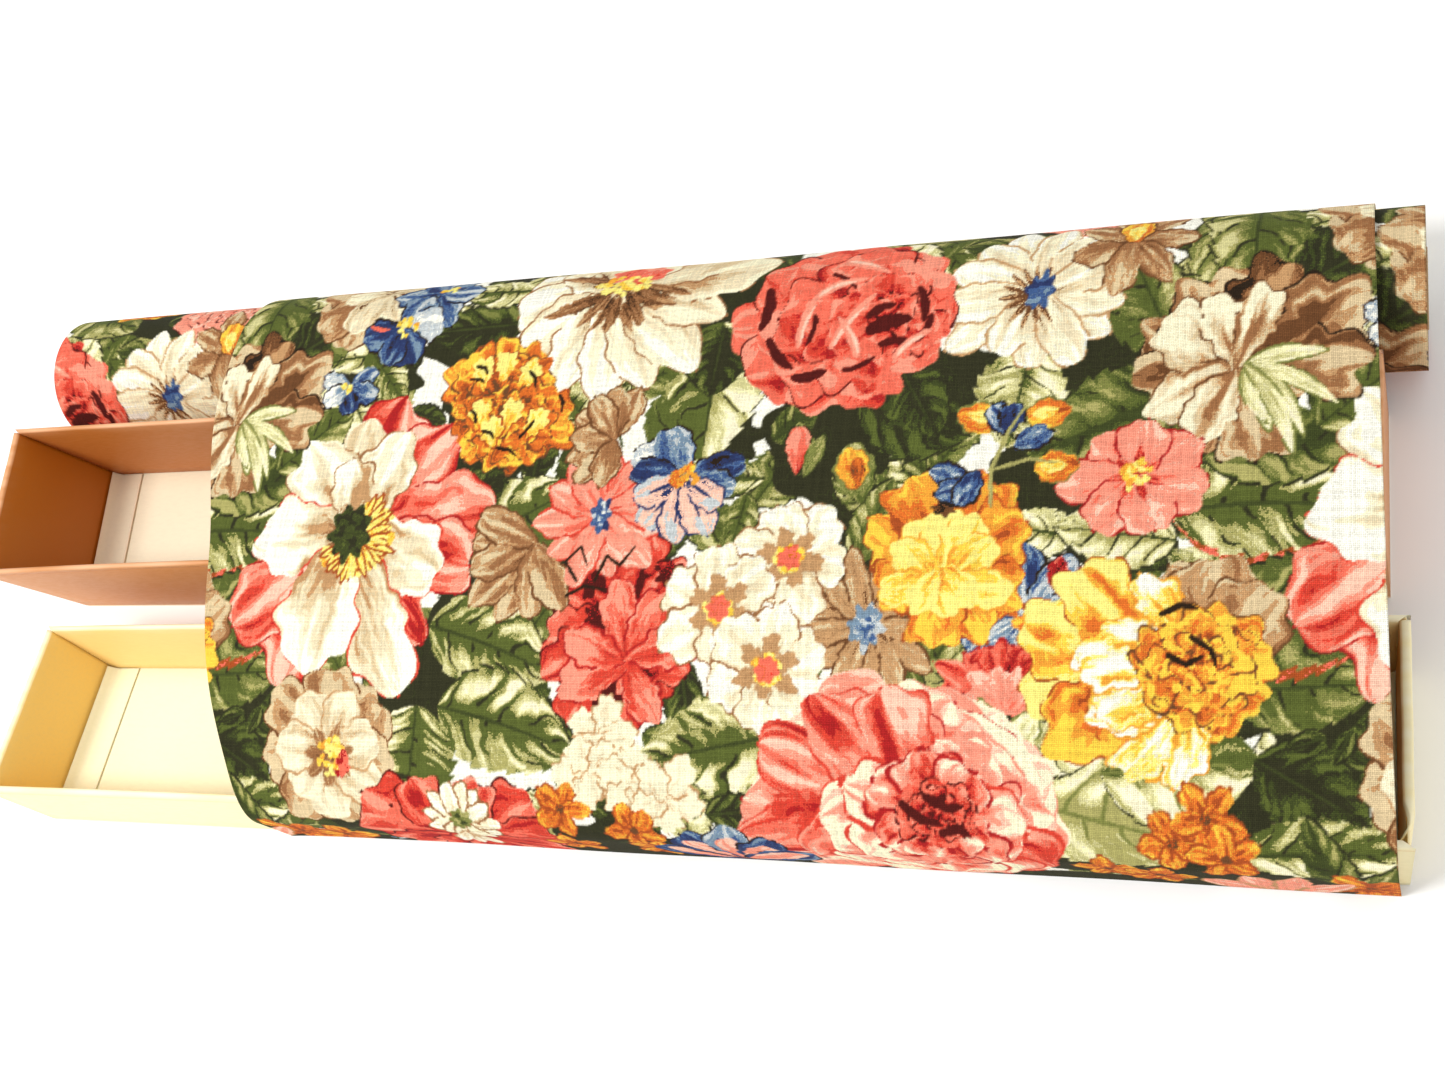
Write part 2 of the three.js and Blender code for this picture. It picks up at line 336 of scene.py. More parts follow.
def paintLeaves(c):
    for x, y, angle, length, width, ramp, more in (
            (-40, 3, 178, 46, 24, "deep", dict(light=0.55)),
            (-38, -14, 184, 40, 18, "pale", dict(light=0.6)),
            (-130, -22, 160, 40, 22, "pale", dict(light=0.72)), (-186, -26, 82, 54, 27, "fresh",
                    dict(light=0.5, bend=0.08)),
            (-118, 4, 190, 52, 26, "dark", dict(light=0.7)),
            (-98, 12, 176, 44, 17, "pale", dict(light=0.85)),
            (-116, 10, 50, 36, 20, "pale", dict(light=0.4)),
            (-118, 34, 150, 34, 26, "wax", dict(light=0.75)),
            (-152, 62, -68, 26, 15, "mid", dict(light=0.5)), (-90, 42, 15, 20, 12, "dark", dict(light=0.8)),
            (-118, 36, 60, 20, 16, "wax", dict(light=0.7)),
            (-178, 68, 48, 62, 40, "mid", dict(light=0.55, bend=-0.1)), (-184, 96, 20, 58, 38, "pale",
                    dict(light=0.5, edge=("rust", "coral"), bend=0.12)),
            (-186, 132, -12, 56, 38, "mid", dict(light=0.62, edge=("rust", "coral"), bend=0.1)),
            (-183, 158, -4, 50, 30, "fresh", dict(light=0.45)),
            (-52, 104, -28, 54, 34, "pale", dict(light=0.38, contrast=0.7)), (-68, 90, -30, 36, 26, "deep",
                    dict(light=0.45)),
            (-62, 136, 12, 60, 40, "pale", dict(light=0.4, contrast=0.6, bend=0.1)), (-56, 168, 10, 62, 40,
                    "pale", dict(light=0.45, bend=0.08)),
            (-66, 168, 96, 50, 40, "pale", dict(light=0.4, contrast=0.6)), (-168, 186, 40, 42, 20, "deep",
                    dict(light=0.5)),
            (-150, 206, 6, 36, 20, "pale", dict(light=0.55)),
            (-120, 208, 78, 34, 15, "mid", dict(light=0.5)),
            (-146, 236, -40, 40, 16, "fresh", dict(light=0.4)), (-96, 246, -60, 44, 13, "mist",
                    dict(light=0.3, vein="deep")),
            (-76, 240, 200, 40, 14, "deep", dict(light=0.6)),
            (51, 10, 92, 62, 46, "pale", dict(light=0.5, sided=-0.3, contrast=0.5, broad=0.74)),
            (52, 12, 96, 30, 30, "deep", dict(light=0.5)),
            (140, 80, -112, 44, 18, "fresh", dict(light=0.45, bend=0.12)), (142, 80, -62, 34, 14, "fresh",
                    dict(light=0.5, bend=0.1)),
            (112, 48, 20, 46, 34, "dark", dict(light=0.75)),
            (126, 34, 60, 34, 26, "dark", dict(light=0.85)),
            (128, 92, -150, 28, 18, "fresh", dict(light=0.4)),
            (78, 62, -40, 22, 16, "mid", dict(light=0.5)),
            (252, 34, 212, 64, 34, "fresh", dict(light=0.42, bend=-0.14)), (226, 30, -112, 52, 26, "fresh",
                    dict(light=0.4)),
            (256, -36, 92, 50, 36, "fresh", dict(light=0.45)), (268, 14, -30, 46, 30, "deep",
                    dict(light=0.62)),
            (232, 48, 150, 60, 38, "mid", dict(light=0.66, bend=0.1)), (176, 30, 100, 40, 34, "pale",
                    dict(light=0.75)),
            (228, 96, -10, 66, 44, "pale", dict(light=0.42, edge=("rust", "coral"), bend=0.16, contrast=0.7)),
            (238, 74, -4, 58, 30, "mid", dict(light=0.6)), (276, 66, -40, 44, 28, "fresh", dict(light=0.5)),
            (244, 130, 10, 50, 44, "mid", dict(light=0.66, edge=("rust", "coral"))), (196, 104, 190, 28, 18,
                    "pale", dict(light=0.8)),
            (230, 106, 188, 42, 24, "wax", dict(light=0.6)), (176, 196, 12, 66, 38, "wax",
                    dict(light=0.5, vein="leaf", contrast=0.75)),
            (206, 186, -6, 52, 40, "pale", dict(light=0.62, vein="leaf", contrast=0.7)),
            (176, 176, 14, 26, 18, "wax", dict(light=0.8)),
            (256, 180, 30, 40, 30, "dark", dict(light=0.85)),
            (250, 212, -4, 52, 24, "pale", dict(light=0.5)),
            (284, 232, -110, 36, 14, "mid", dict(light=0.5)), (88, 176, 168, 58, 40, "pale",
                    dict(light=0.58, contrast=0.75, broad=0.7)),
            (20, 204, -8, 40, 22, "fresh", dict(light=0.5)), (60, 206, -6, 28, 14, "deep", dict(light=0.6)),
            (44, 92, 20, 40, 20, "fresh", dict(light=0.45)),
            (76, 78, 186, 40, 17, "pale", dict(light=0.42)),
            (70, 84, 100, 26, 14, "fresh", dict(light=0.5)), (162, 142, 200, 26, 16, "fresh",
                    dict(light=0.5)),
            (140, 166, -70, 44, 18, "fresh", dict(light=0.48, bend=0.12)), (166, 168, -140, 30, 16, "light",
                    dict(light=0.5)),
            (116, 112, -70, 34, 20, "fresh", dict(light=0.45)),
            (-8, -40, 20, 46, 30, "mid", dict(light=0.6)), (-150, -30, -30, 50, 30, "mid", dict(light=0.6)),
            (170, -34, -20, 46, 28, "deep",
                    dict(light=0.6)),
            (100, -60, 30, 60, 34, "fresh", dict(light=0.5)),
            (-60, -60, 10, 60, 34, "pale", dict(light=0.5)),
            (220, -70, 10, 60, 36, "pale", dict(light=0.5)),
            (20, -90, 170, 60, 36, "mid", dict(light=0.6))):
        leaf(c, x, y, angle, length, width, ramp, int(abs(x) * 5 + abs(y) * 3) % 89, **more)


def paintSmallLeaves(c):
    sprig(c, 14, 62, -112, 34, 4, 13, "pale", 4)
    for x, y, angle, length in ((-134, 182, -150, 14), (-136, 176, -80, 15), (-142, 170, 120, 12),
                                (-150, 172, 160, 13), (-140, 184, 20, 12)):
        leaf(c, x, y, angle, length, length * 0.55, "deep", int(length * 3), veins=2, teeth=1, tooth=0.0,
             light=0.55)


def paintAnemone(c):
    x, y = -108, 96
    for a, length, width in ((-76, 62, 36), (-48, 62, 34), (-8, 70, 36), (14, 66, 32), (112, 70, 38),
                             (142, 66, 36), (48, 62, 24)):
        petal(c, x, y, a, length, width, "coral", int(a) + 200, light=0.5, rise=0.3, streak=1.2,
              ruffle=0.07, blunt=0.5,
              broad=1.7, outline="crimson", side=0.15)
    petal(c, x, y, -90, 52, 30, "beige", 13, light=0.6, broad=1.5)
    for a, length, width, light in ((-126, 50, 33, 0.86), (-66, 48, 27, 0.74), (178, 46, 35, 0.86),
                                    (22, 50, 34, 0.84), (64, 76, 30, 0.8), (104, 60, 38, 0.78),
                                    (-98, 34, 20, 0.66)):
        petal(c, x, y, a, length, width, "cream", int(a) + 300, light=light - 0.22, rise=0.7, streak=1.2,
              ruffle=0.07,
              blunt=0.46, broad=1.55, outline="red" if a > 0 else "beige", side=-0.1, cup=0.15, creases=0.6)
    ring(c, x, y + 1, 10, 17, 5.5, "beige", 12, phase=0, light=0.2)
    dots(c, x + 3, y + 2, 19, 17, 90, 1.5, "yellow", 21, hollow=0.62, arc=(-80, 160))
    ring(c, x + 3, y + 2, 26, 18, 2.6, "yellow", 23, phase=-70, spread=230, light=0.7, rise=0.3,
         outline="rust")
    blob(c, x, y, 9, 11.5, "deep", 31, ruffle=0.25, lobes=9, light=0.25, streak=1.0, grainSize=0.4)


def paintBrownRose(c):
    x, y = 252, 42
    for a, length, width, ramp in ((-150, 38, 34, "brown"), (-112, 40, 32, "brown"), (-68, 42, 34, "mocha"),
                                   (-32, 48, 32, "brown"), (2, 40, 26, "brown"), (112, 32, 26, "mocha"),
                                   (84, 36, 26, "brown"), (178, 38, 30, "brown")):
        petal(c, x, y, a, length, width, ramp, int(a) + 170, light=0.46, rise=0.35, streak=1.3, ruffle=0.12,
              blunt=0.45,
              broad=1.7, outline="night", side=0.25, creases=0.9)
    for a, length, width, light in ((-140, 33, 27, 0.62), (-104, 30, 16, 0.72), (-70, 34, 14, 0.76),
                                    (150, 34, 19, 0.62), (118, 31, 17, 0.7)):
        petal(c, x - 3, y, a, length, width, "beige", int(a) + 431, light=light, rise=0.6, streak=1.1,
              ruffle=0.09, blunt=0.5,
              broad=1.4, outline="umber", cup=0.3, creases=0.7)
    for a, length, bend in ((-26, 26, 0.3), (8, 32, 0.35), (30, 30, 0.45), (66, 26, 0.1), (84, 22, -0.2),
                            (48, 36, 0.3)):
        petal(c, x, y, a, length, 6.0, "wax", int(a) + 77, light=0.6, bend=bend, ruffle=0.02, broad=1.0,
              outline="leaf")


def paintMarigold(c):
    x, y = -45, 42
    rose(c, x - 4, y - 12, 26, 20, (x - 2, y - 4), "marigold", 3, ((1.0, 9), (0.72, 8), (0.5, 6)),
         gap="umber", ruffle=0.12,
         light=0.36, rise=0.9, streak=0.9, gapShare=0.9)
    rose(c, x + 8, y + 10, 27, 18, (x + 2, y + 4), "marigold", 9, ((1.0, 10), (0.76, 8), (0.54, 7),
            (0.34, 5)), gap="umber",
         ruffle=0.12, light=0.38, rise=0.9, streak=0.9, gapShare=0.9)
    for dx, dy, a in ((-10, -16, -100), (-2, -18, -84), (8, -14, -66), (-8, 4, -100), (4, 4, -80),
                      (14, 8, -60), (-2, 12, -95)):
        petal(c, x + dx, y + dy + 6, a, 14, 10, "yellow", int(dx * 7 + dy) % 61, light=0.75, rise=0.6,
              streak=0.7, ruffle=0.12,
              blunt=0.42, broad=1.7, outline="rust")
    for x0, y0, x1, y1 in ((-60, 22, -54, 26), (-62, 28, -55, 30), (-34, 26, -30, 34), (-18, 38, -16, 46),
                           (-34, 56, -28, 48), (-44, 60, -34, 64), (-52, 52, -46, 56), (-56, 48, -60, 42)):
        stroke(c, [(x0, y0), ((x0 + x1) / 2 + 1, (y0 + y1) / 2 - 1), (x1, y1)], 1.5, "night", 5)


def paintDaisySix(c):
    x, y = 3, -13
    for a, length, width in ((-172, 46, 22), (164, 50, 30), (142, 54, 26), (118, 54, 26), (92, 56, 26),
                             (70, 52, 26), (48, 56, 26), (22, 50, 22), (-6, 68, 30), (-20, 60, 24),
                             (-150, 36, 26), (-110, 26, 26), (-60, 30, 26), (-100, 36, 30)):
        petal(c, x, y, a, length, width, "daisy" if abs(a) > 24 else "beige", int(a) + 611, light=0.64,
              rise=0.55, streak=0.7,
              ruffle=0.05, blunt=0.5, broad=1.25, side=0.1, outline="beige")
    rng = np.random.default_rng(8)
    for a in (150, 132, 112, 96, 80, 62, 44, 30, 10, -160):
        start, long = 6 + rng.uniform(0, 5), rng.uniform(12, 30)
        sx, sy = x + start * math.cos(math.radians(a)), y + start * math.sin(math.radians(a))
        petal(c, sx, sy, a + rng.uniform(-8, 8), long, rng.uniform(4.0, 7.5), "mocha", int(a) + 33,
              light=0.62, bend=rng.uniform(-0.2, 0.3),
              broad=0.8, ruffle=0.12)
    blob(c, x + 5, y - 8, 13, 8, "coral", 3, light=0.55)
    dots(c, x, y, 12, 6, 42, 1.5, "yellow", 4, hollow=0.1)


def paintPeony(c):
    rose(c, 101, 11, 44, 37, (119, 15), "peony", 41, ((1.0, 11), (0.86, 8), (0.7, 7), (0.54, 6), (0.38, 5),
                                                      (0.24, 4)),
         gap="maroon", light=0.5, rise=0.75, streak=0.8, ruffle=0.07)
    for x, y, a, length, bend, width in (
            (70, -2, 80, 16, 0.35, 4.5), (72, 20, 70, 15, -0.4, 4), (84, 36, 10, 12, -0.35, 4),
            (132, 2, 60, 13, 0.4, 3.5), (137, 14, 100, 11, 0.35, 3), (113, 18, -30, 16, 0.3, 6),
            (118, 24, -20, 11, 0.4, 3.5), (112, 12, -50, 10, 0.5, 3.5), (96, -8, 20, 12, 0.3, 2.2),
            (90, 10, 80, 12, 0.4, 2.2), (104, 34, 0, 12, -0.4, 2.4)):
        stroke(c, arcOf(x, y, a, length, bend), width, "maroon", int(x))
    for x, y, a, length, bend in ((98, 24, -70, 26, 0.3), (90, 2, -40, 20, 0.4), (108, 28, -100, 18, -0.3),
                                  (84, 22, -90, 22, 0.3), (124, 30, -60, 16, 0.4), (100, -14, 10, 20, 0.2)):
        stroke(c, arcOf(x, y, a, length, bend), 3.2, "salmon", int(x) + 9)
        stroke(c, arcOf(x + 1, y - 1, a, length * 0.7, bend), 1.5, "blush", int(x) + 11)


def paintDaisyEight(c):
    x, y = 177, 7
    ring(c, x, y, 13, 36, 15, "daisy", 51, phase=8, squash=0.94, light=0.7, rise=0.42, streak=0.6,
         outline="tan", blunt=0.44,
         broad=1.35, ruffle=0.04)
    ring(c, x - 1, y + 1, 11, 13, 2.2, ("umber", "tan"), 52, phase=60, spread=260, light=0.4)
    blob(c, x + 1, y - 1, 4.5, 7.5, "navy", 53, angle=20, ruffle=0.3, lobes=8, light=0.75)


def paintSmallFlowers(c):
    # Pansy and speedwell.
    for a, length, width, ramp in ((-60, 20, 17, "blue"), (-10, 20, 18, "mist"), (172, 20, 15, "navy"),
                                   (66, 18, 17, "navy"), (110, 17, 13, "navy")):
        petal(c, -101, 2, a, length, width, ramp, int(a) + 91, light=0.6, blunt=0.42, broad=1.4, streak=0.9,
              outline="night")
    stroke(c, [(-118, -1), (-112, 1), (-108, 1)], 2.0, "coral", 2)
    dots(c, -99, 0, 5, 5, 16, 1.3, "yellow", 6)
    for a, length, width, ramp in ((-160, 15, 9, "mist"), (-30, 15, 9, "blue"), (20, 16, 10, "blue"),
                                   (80, 13, 11, "navy"), (150, 14, 10, "mist")):
        petal(c, -123, 28, a, length, width, ramp, int(a) + 19, light=0.55, blunt=0.45, streak=1.0,
              outline="navy")
    dots(c, -123, 28, 4, 2.4, 10, 1.0, "yellow", 7)
    # Pink daisy.
    ring(c, 216, 82, 7, 23, 18, "pink", 61, phase=20, light=0.55, rise=0.3, outline="coral", blunt=0.42,
         broad=1.5)
    ring(c, 216, 82, 7, 10, 3, "coral", 62, phase=20, light=0.2)
    dots(c, 216, 81, 5, 6, 26, 1.3, "yellow", 8)
    # Tan petals behind the salmon daisy, then the daisy.
    ring(c, -19, 102, 7, 30, 14, "brown", 63, phase=60, spread=170, light=0.75, outline="umber", blunt=0.45)
    ring(c, 9, 91, 11, 28, 12.5, "pink", 64, phase=10, squash=1.0, light=0.5, rise=0.35, streak=0.8,
         outline="red", blunt=0.46,
         broad=1.35)
    blob(c, 9, 91, 4.5, 6, "navy", 65, ruffle=0.3, lobes=7, light=0.7)
    dots(c, 9, 91, 4, 5, 8, 0.9, "mist", 66)
    for pts in (((2, 118), (-4, 110), (2, 104), (6, 112)), ((10, 118), (14, 108), (20, 112), (26, 104)),
                ((-2, 124), (6, 120), (16, 122))):
        stroke(c, pts, 1.3, "night", 3)
    # Striped blue flower.
    for a, length, width, ramp in ((-150, 26, 17, "mist"), (-116, 24, 17, "blue"), (-168, 24, 12, "navy"),
                                   (-14, 25, 14, "navy"), (12, 22, 12, "blue")):
        petal(c, 43, 77, a, length, width, ramp, int(a) + 48, light=0.55, blunt=0.42, streak=1.0,
              outline="navy", broad=1.5)
    for a, length, width in ((130, 25, 15), (95, 26, 14), (62, 26, 15), (160, 22, 12), (34, 20, 11)):
        petal(c, 43, 77, a, length, width, ("navy", "blush", "blush", "sky"), int(a) + 21, light=0.6,
              blunt=0.42, streak=0.8, outline="blue", broad=1.5)
        stroke(c, arcOf(43, 77, a, length * 0.7), 1.6, "navy", int(a))
    dots(c, 43, 76, 6, 5, 24, 1.4, "orange", 67)
    # Orange buds and blue bells.
    for x, y, a in ((150, 55, 15), (192, 55, 170), (196, 77, 178)):
        petal(c, x, y, a, 16, 12, "orange", int(x), light=0.6, blunt=0.5, outline="leaf")
        petal(c, x + 4 * math.cos(math.radians(a)), y, a, 10, 5, "yellow", int(x) + 1, light=0.8)
    for x, y, a, n in ((170, 64, -120, 14), (168, 64, -70, 13), (156, 82, 200, 15), (158, 84, 170, 14),
                       (172, 68, -20, 14), (160, 78, 120, 15)):
        petal(c, x, y, a, n, 9, "blue" if n > 13 else "navy", int(x + a) % 47, light=0.4, streak=1.0,
              outline="navy", blunt=0.45)
    stroke(c, [(165, 92), (164, 78), (170, 62), (176, 52)], 1.6, "light", 4)
    stroke(c, [(164, 78), (178, 74), (188, 76)], 1.4, "light", 5)
    # Red bud and orange bud with their sepals.
    petal(c, 90, 78, -94, 22, 12, "mid", 68, light=0.6)
    petal(c, 89, 76, -92, 20, 10, "peony", 69, light=0.75, outline="deep")
    petal(c, 92, 78, -70, 18, 7, "fresh", 70, light=0.5)
    petal(c, 116, 90, -104, 26, 16, "fresh", 71, light=0.5, outline="deep")
    petal(c, 114, 84, -106, 18, 13, "orange", 72, light=0.55, outline="leaf")
    petal(c, 114, 82, -96, 12, 6, "marigold", 73, light=0.4)
    # Brown flower beside the sprig.
    ring(c, 10, 58, 8, 22, 12, "brown", 74, phase=100, spread=220, light=0.7, outline="umber")
    # Orange bud among brown leaves at the top.
    ring(c, 212, -14, 7, 24, 11, "brown", 75, phase=-150, light=0.7, outline="umber")
    petal(c, 212, -12, -90, 17, 12, "orange", 76, light=0.7, outline="brown", blunt=0.45)
    petal(c, 212, -13, -90, 11, 6, "yellow", 77, light=0.85)


def paintMiddle(c):
    # Red dahlia.
    for a, length, width in ((-120, 38, 22), (-80, 38, 22), (-40, 34, 22), (-150, 36, 20), (170, 34, 24),
                             (120, 44, 22), (90, 44, 20), (60, 34, 20), (150, 38, 22), (10, 30, 24),
                             (36, 32, 20)):
        petal(c, 24, 136, a, length, width, "dahlia", int(a) + 401, light=0.46, streak=0.9, ruffle=0.1,
              blunt=0.44, broad=1.6,
              outline="maroon")
    for x, y, rx, ry in ((14, 132, 6, 5), (8, 118, 5, 7), (20, 166, 5, 8), (42, 116, 6, 5), (6, 152, 4, 5)):
        blob(c, x, y, rx, ry, ("maroon", "crimson"), int(x + y), ruffle=0.3, light=0.3)
    for a, length, width in ((-100, 32, 17), (-60, 32, 16), (-20, 34, 17), (160, 30, 17), (60, 26, 14),
                             (200, 28, 15)):
        petal(c, 26, 150, a, length, width, "dahlia", int(a) + 411, light=0.82, streak=0.6, ruffle=0.08,
              blunt=0.46, broad=1.6,
              outline="crimson")
    # Tan star flower.
    ring(c, 122, 136, 13, 27, 9, ("umber", "tan", "tan", "beige"), 81, phase=5, light=0.6, streak=0.7,
         outline="umber", blunt=0.5,
         broad=1.3)
    blob(c, 122, 136, 6.5, 8, "mist", 82, ruffle=0.3, lobes=8, light=0.2)
    dots(c, 122, 136, 5, 6, 14, 1.4, "blue", 83)
    # White blossoms.
    for x, y, s in ((90, 110, 84), (63, 129, 85), (84, 152, 86)):
        ring(c, x, y, 6, 24, 20, ("beige", "shell", "cream", "white", "white"), s, phase=s * 13, light=0.52,
             rise=0.3,
             streak=0.5, outline="beige", blunt=0.4, broad=1.6, ruffle=0.07)
        ring(c, x, y, 6, 13, 7, ("brown", "tan", "tan"), s + 3, phase=s * 13, light=0.7, blunt=0.5,
             ruffle=0.12)
        dots(c, x, y, 5.2, 5.2, 26, 1.5, "yellow", s + 5, hollow=0.6)
        blob(c, x, y, 4.6, 4.6, ("red", "coral", "orange"), s + 7, ruffle=0.2, light=0.5)
    # Blue flower with an orange heart, and coral carnation.
    ring(c, 179, 133, 9, 25, 13, "blue", 88, phase=30, light=0.45, streak=1.1, outline="navy", blunt=0.44,
         broad=1.5)
    ring(c, 179, 133, 7, 20, 6, "mist", 89, phase=50, light=0.5, streak=0.9)
    petal(c, 188, 122, -70, 11, 7, ("maroon", "crimson", "coral"), 90)
    dots(c, 180, 133, 6, 4, 20, 1.5, "orange", 91)
    ring(c, 172, 164, 8, 23, 13, "peony", 92, phase=185, spread=190, light=0.45, rise=0.4,
         outline="crimson", ruffle=0.12, blunt=0.42)
    ring(c, 173, 166, 6, 17, 10, "pink", 93, phase=200, spread=170, light=0.6, rise=0.4, ruffle=0.1)
    petal(c, 168, 182, -100, 20, 9, "wax", 94, light=0.7, outline="leaf")
    petal(c, 174, 182, -60, 18, 10, "wax", 95, light=0.6, outline="leaf")
    # Yellow and orange rose with brown petals behind it.
    for a, length, width in ((-110, 36, 34), (-80, 38, 30), (-50, 34, 28)):
        petal(c, 240, 150, a, length, width, "brown", int(a) + 121, light=0.75, ruffle=0.06, blunt=0.42,
              outline="umber", broad=1.6)
    for a, length, width, ramp in ((170, 44, 30, "yellow"), (-160, 46, 30, "yellow"),
                                   (-125, 44, 26, "yellow"), (140, 44, 28, "orange"),
                                   (110, 30, 24, "orange"), (30, 34, 28, "orange"), (0, 34, 26, "yellow"),
                                   (60, 30, 24, "orange")):
        petal(c, 222, 150, a, length, width, ramp, int(a) + 205, light=0.5, rise=0.6, streak=1.1,
              ruffle=0.09, blunt=0.44,
              broad=1.7, outline="rust")
    for k, a in enumerate((-252, -122, -234, -140, -216, -158, -198, -178)):
        x, y = 240 + 13 * math.cos(math.radians(a)), 153 + 12 * math.sin(math.radians(a))
        petal(c, x, y, a + (-16, 10, -8)[k % 3], 25 + k % 3 * 3, 15, ("gold", "yellow", "lemon", "cream",
                "white"), k + 311,
              light=0.62, rise=0.5, streak=1.2, ruffle=0.1, blunt=0.42, broad=1.6, bend=(0.2, -0.15)[k % 2],
              outline="gold",
              creases=0.5)
    rose(c, 241, 151, 23, 19, (236, 150), "orange", 97, ((1.0, 7), (0.76, 6), (0.5, 5), (0.3, 4)),
         gap="umber", light=0.5,
         rise=0.9, streak=1.0, gapShare=0.9, ruffle=0.1)
    for pts in (((228, 146), (234, 149), (240, 146)), ((236, 140), (242, 144), (244, 150)),
                ((226, 132), (232, 129), (238, 130))):
        stroke(c, pts, 2.0, "night", 5)
    # Yellow cup rose with orange lips.
    for a, length, width in ((-150, 34, 26), (-115, 38, 26), (-60, 38, 28), (-25, 34, 26), (150, 28, 22),
                             (30, 34, 24), (60, 34, 22), (95, 34, 22)):
        petal(c, 149, 112, a, length * 0.94, width, "orange", int(a) + 133, light=0.5, rise=0.5, ruffle=0.1,
              blunt=0.42, broad=1.7,
              outline="rust", streak=0.9)
    for a, length, width in ((-120, 26, 17), (-92, 28, 18), (-64, 27, 17), (-40, 24, 14), (-142, 24, 14),
                             (170, 24, 13), (10, 26, 14)):
        petal(c, 149, 120, a, length, width, "yellow", int(a) + 143, light=0.62, rise=0.6, ruffle=0.05,
              blunt=0.46, outline="gold",
              broad=1.5, streak=0.6)
    blob(c, 148, 92, 4.5, 3, ("night", "umber"), 98, ruffle=0.3)
    for a in (80, 120, 50):
        petal(c, 148, 114, a, 20, 12, "yellow", a, light=0.7, ruffle=0.06)


def paintFront(c):
    # Cabbage rose.
    rose(c, 133, 203, 60, 48, (147, 203), "cabbage", 101, ((1.0, 10), (0.88, 9), (0.76, 8), (0.62, 7),
                                                           (0.48, 6), (0.34, 5), (0.22, 5)),
         gap="crimson", light=0.6, rise=0.45, streak=0.7, ruffle=0.06,
         inner=("maroon", "crimson", "coral", "salmon", "blush"))
    for a, length, width in ((-158, 70, 30), (-135, 62, 30), (172, 74, 28), (-112, 52, 26)):
        petal(c, 147, 206, a, length, width, "coral", int(a) + 177, light=0.48, streak=1.1, ruffle=0.07,
              blunt=0.42, broad=2.2,
              outline="red", start=0.5)
    for a, length, width, light in ((150, 54, 44, 0.66), (36, 46, 40, 0.6), (118, 48, 50, 0.72),
                                    (66, 45, 46, 0.7), (92, 42, 44, 0.78), (176, 42, 34, 0.74),
                                    (8, 32, 30, 0.62), (136, 34, 34, 0.72), (52, 30, 30, 0.7),
                                    (96, 28, 34, 0.66), (200, 34, 22, 0.8), (-150, 26, 22, 0.6),
                                    (-100, 24, 24, 0.55), (-50, 22, 24, 0.6), (150, 22, 20, 0.62),
                                    (30, 20, 20, 0.55), (100, 18, 22, 0.5)):
        petal(c, 147, 204, a, length, width, "cabbage", a + 260,
              light=light - (0.16 if length > 30 else 0.24), rise=0.72, streak=1.0, broad=2.3, blunt=0.5,
              outline="red" if length > 30 else "crimson", margin=1.8, ruffle=0.05)
    rose(c, 148, 202, 14, 11, (148, 203), "peony", 103, ((1.0, 6), (0.7, 5), (0.4, 4)), gap="maroon",
         light=0.4, rise=0.8, gapShare=0.9)
    for pts in (((136, 199), (142, 204), (150, 206)), ((144, 196), (152, 200), (158, 199)),
                ((150, 209), (156, 207), (160, 210))):
        stroke(c, pts, 3.4, "maroon", 7)
    # Beige flower with a yellow and red heart.
    ring(c, -108, 186, 7, 32, 26, "brown", 104, phase=15, light=0.82, outline="brown", blunt=0.42,
         broad=1.7, ruffle=0.07)
    ring(c, -108, 188, 7, 27, 19, "beige", 105, phase=35, light=0.75, rise=0.4, streak=0.6, blunt=0.42,
         broad=1.6, outline="tan")
    ring(c, -108, 189, 7, 13, 6, "brown", 106, phase=35, light=0.5)
    dots(c, -107, 189, 6, 8, 44, 1.4, "yellow", 107)
    dots(c, -101, 192, 3, 5, 12, 1.6, ("crimson", "coral"), 108)
    # Pale blossoms with tan outlines.
    for x, y, n in ((17, 178, 109), (12, 192, 110), (30, 196, 111), (44, 200, 112)):
        ring(c, x, y, 5, 15, 12, ("tan", "shell", "cream", "cream"), n, phase=n * 31, light=0.75,
             outline="tan", blunt=0.4, ruffle=0.1)
    # Large red flower and small white daisy.
    for a, length, width in ((-150, 44, 30), (-178, 46, 28), (-30, 46, 26), (0, 50, 30), (150, 44, 28),
                             (30, 44, 28), (110, 34, 30), (70, 34, 30), (-90, 20, 26), (-60, 34, 20),
                             (-120, 34, 22)):
        petal(c, -52, 226, a, length, width, ("crimson", "red", "coral", "salmon"), int(a) + 211,
              light=0.45, streak=0.9,
              ruffle=0.09, blunt=0.42, broad=1.6, outline="maroon")
    ring(c, -47, 214, 13, 17, 6.5, ("beige", "cream", "white"), 113, phase=0, light=0.6, rise=0.5,
         outline="beige", blunt=0.5)
    for a in (80, 100, 120):
        petal(c, -48, 220, a, 24, 7, "cream", a, light=0.6, outline="tan")
    blob(c, -47, 213, 5, 4.6, "fresh", 114, ruffle=0.2, lobes=8, light=0.5)
    dots(c, -47, 213, 3, 2.6, 6, 0.9, "dark", 115)
    # Small orange blossoms.
    for x, y, n in ((-1, 206, 116), (29, 214, 117), (-3, 231, 118), (33, 232, 119), (229, 209, 120),
                    (205, 227, 121), (222, 233, 122), (240, 200, 123), (246, 214, 124), (-118, 240, 125),
                    (290, 236, 126)):
        big = 12 if n < 125 else 18
        ring(c, x, y, 5, big, big * 0.62, "orange", n, phase=n * 23, light=0.45, streak=0.7, outline="rust",
             blunt=0.42)
        blob(c, x, y, 1.8, 1.8, ("umber", "rust"), n, light=0.3)
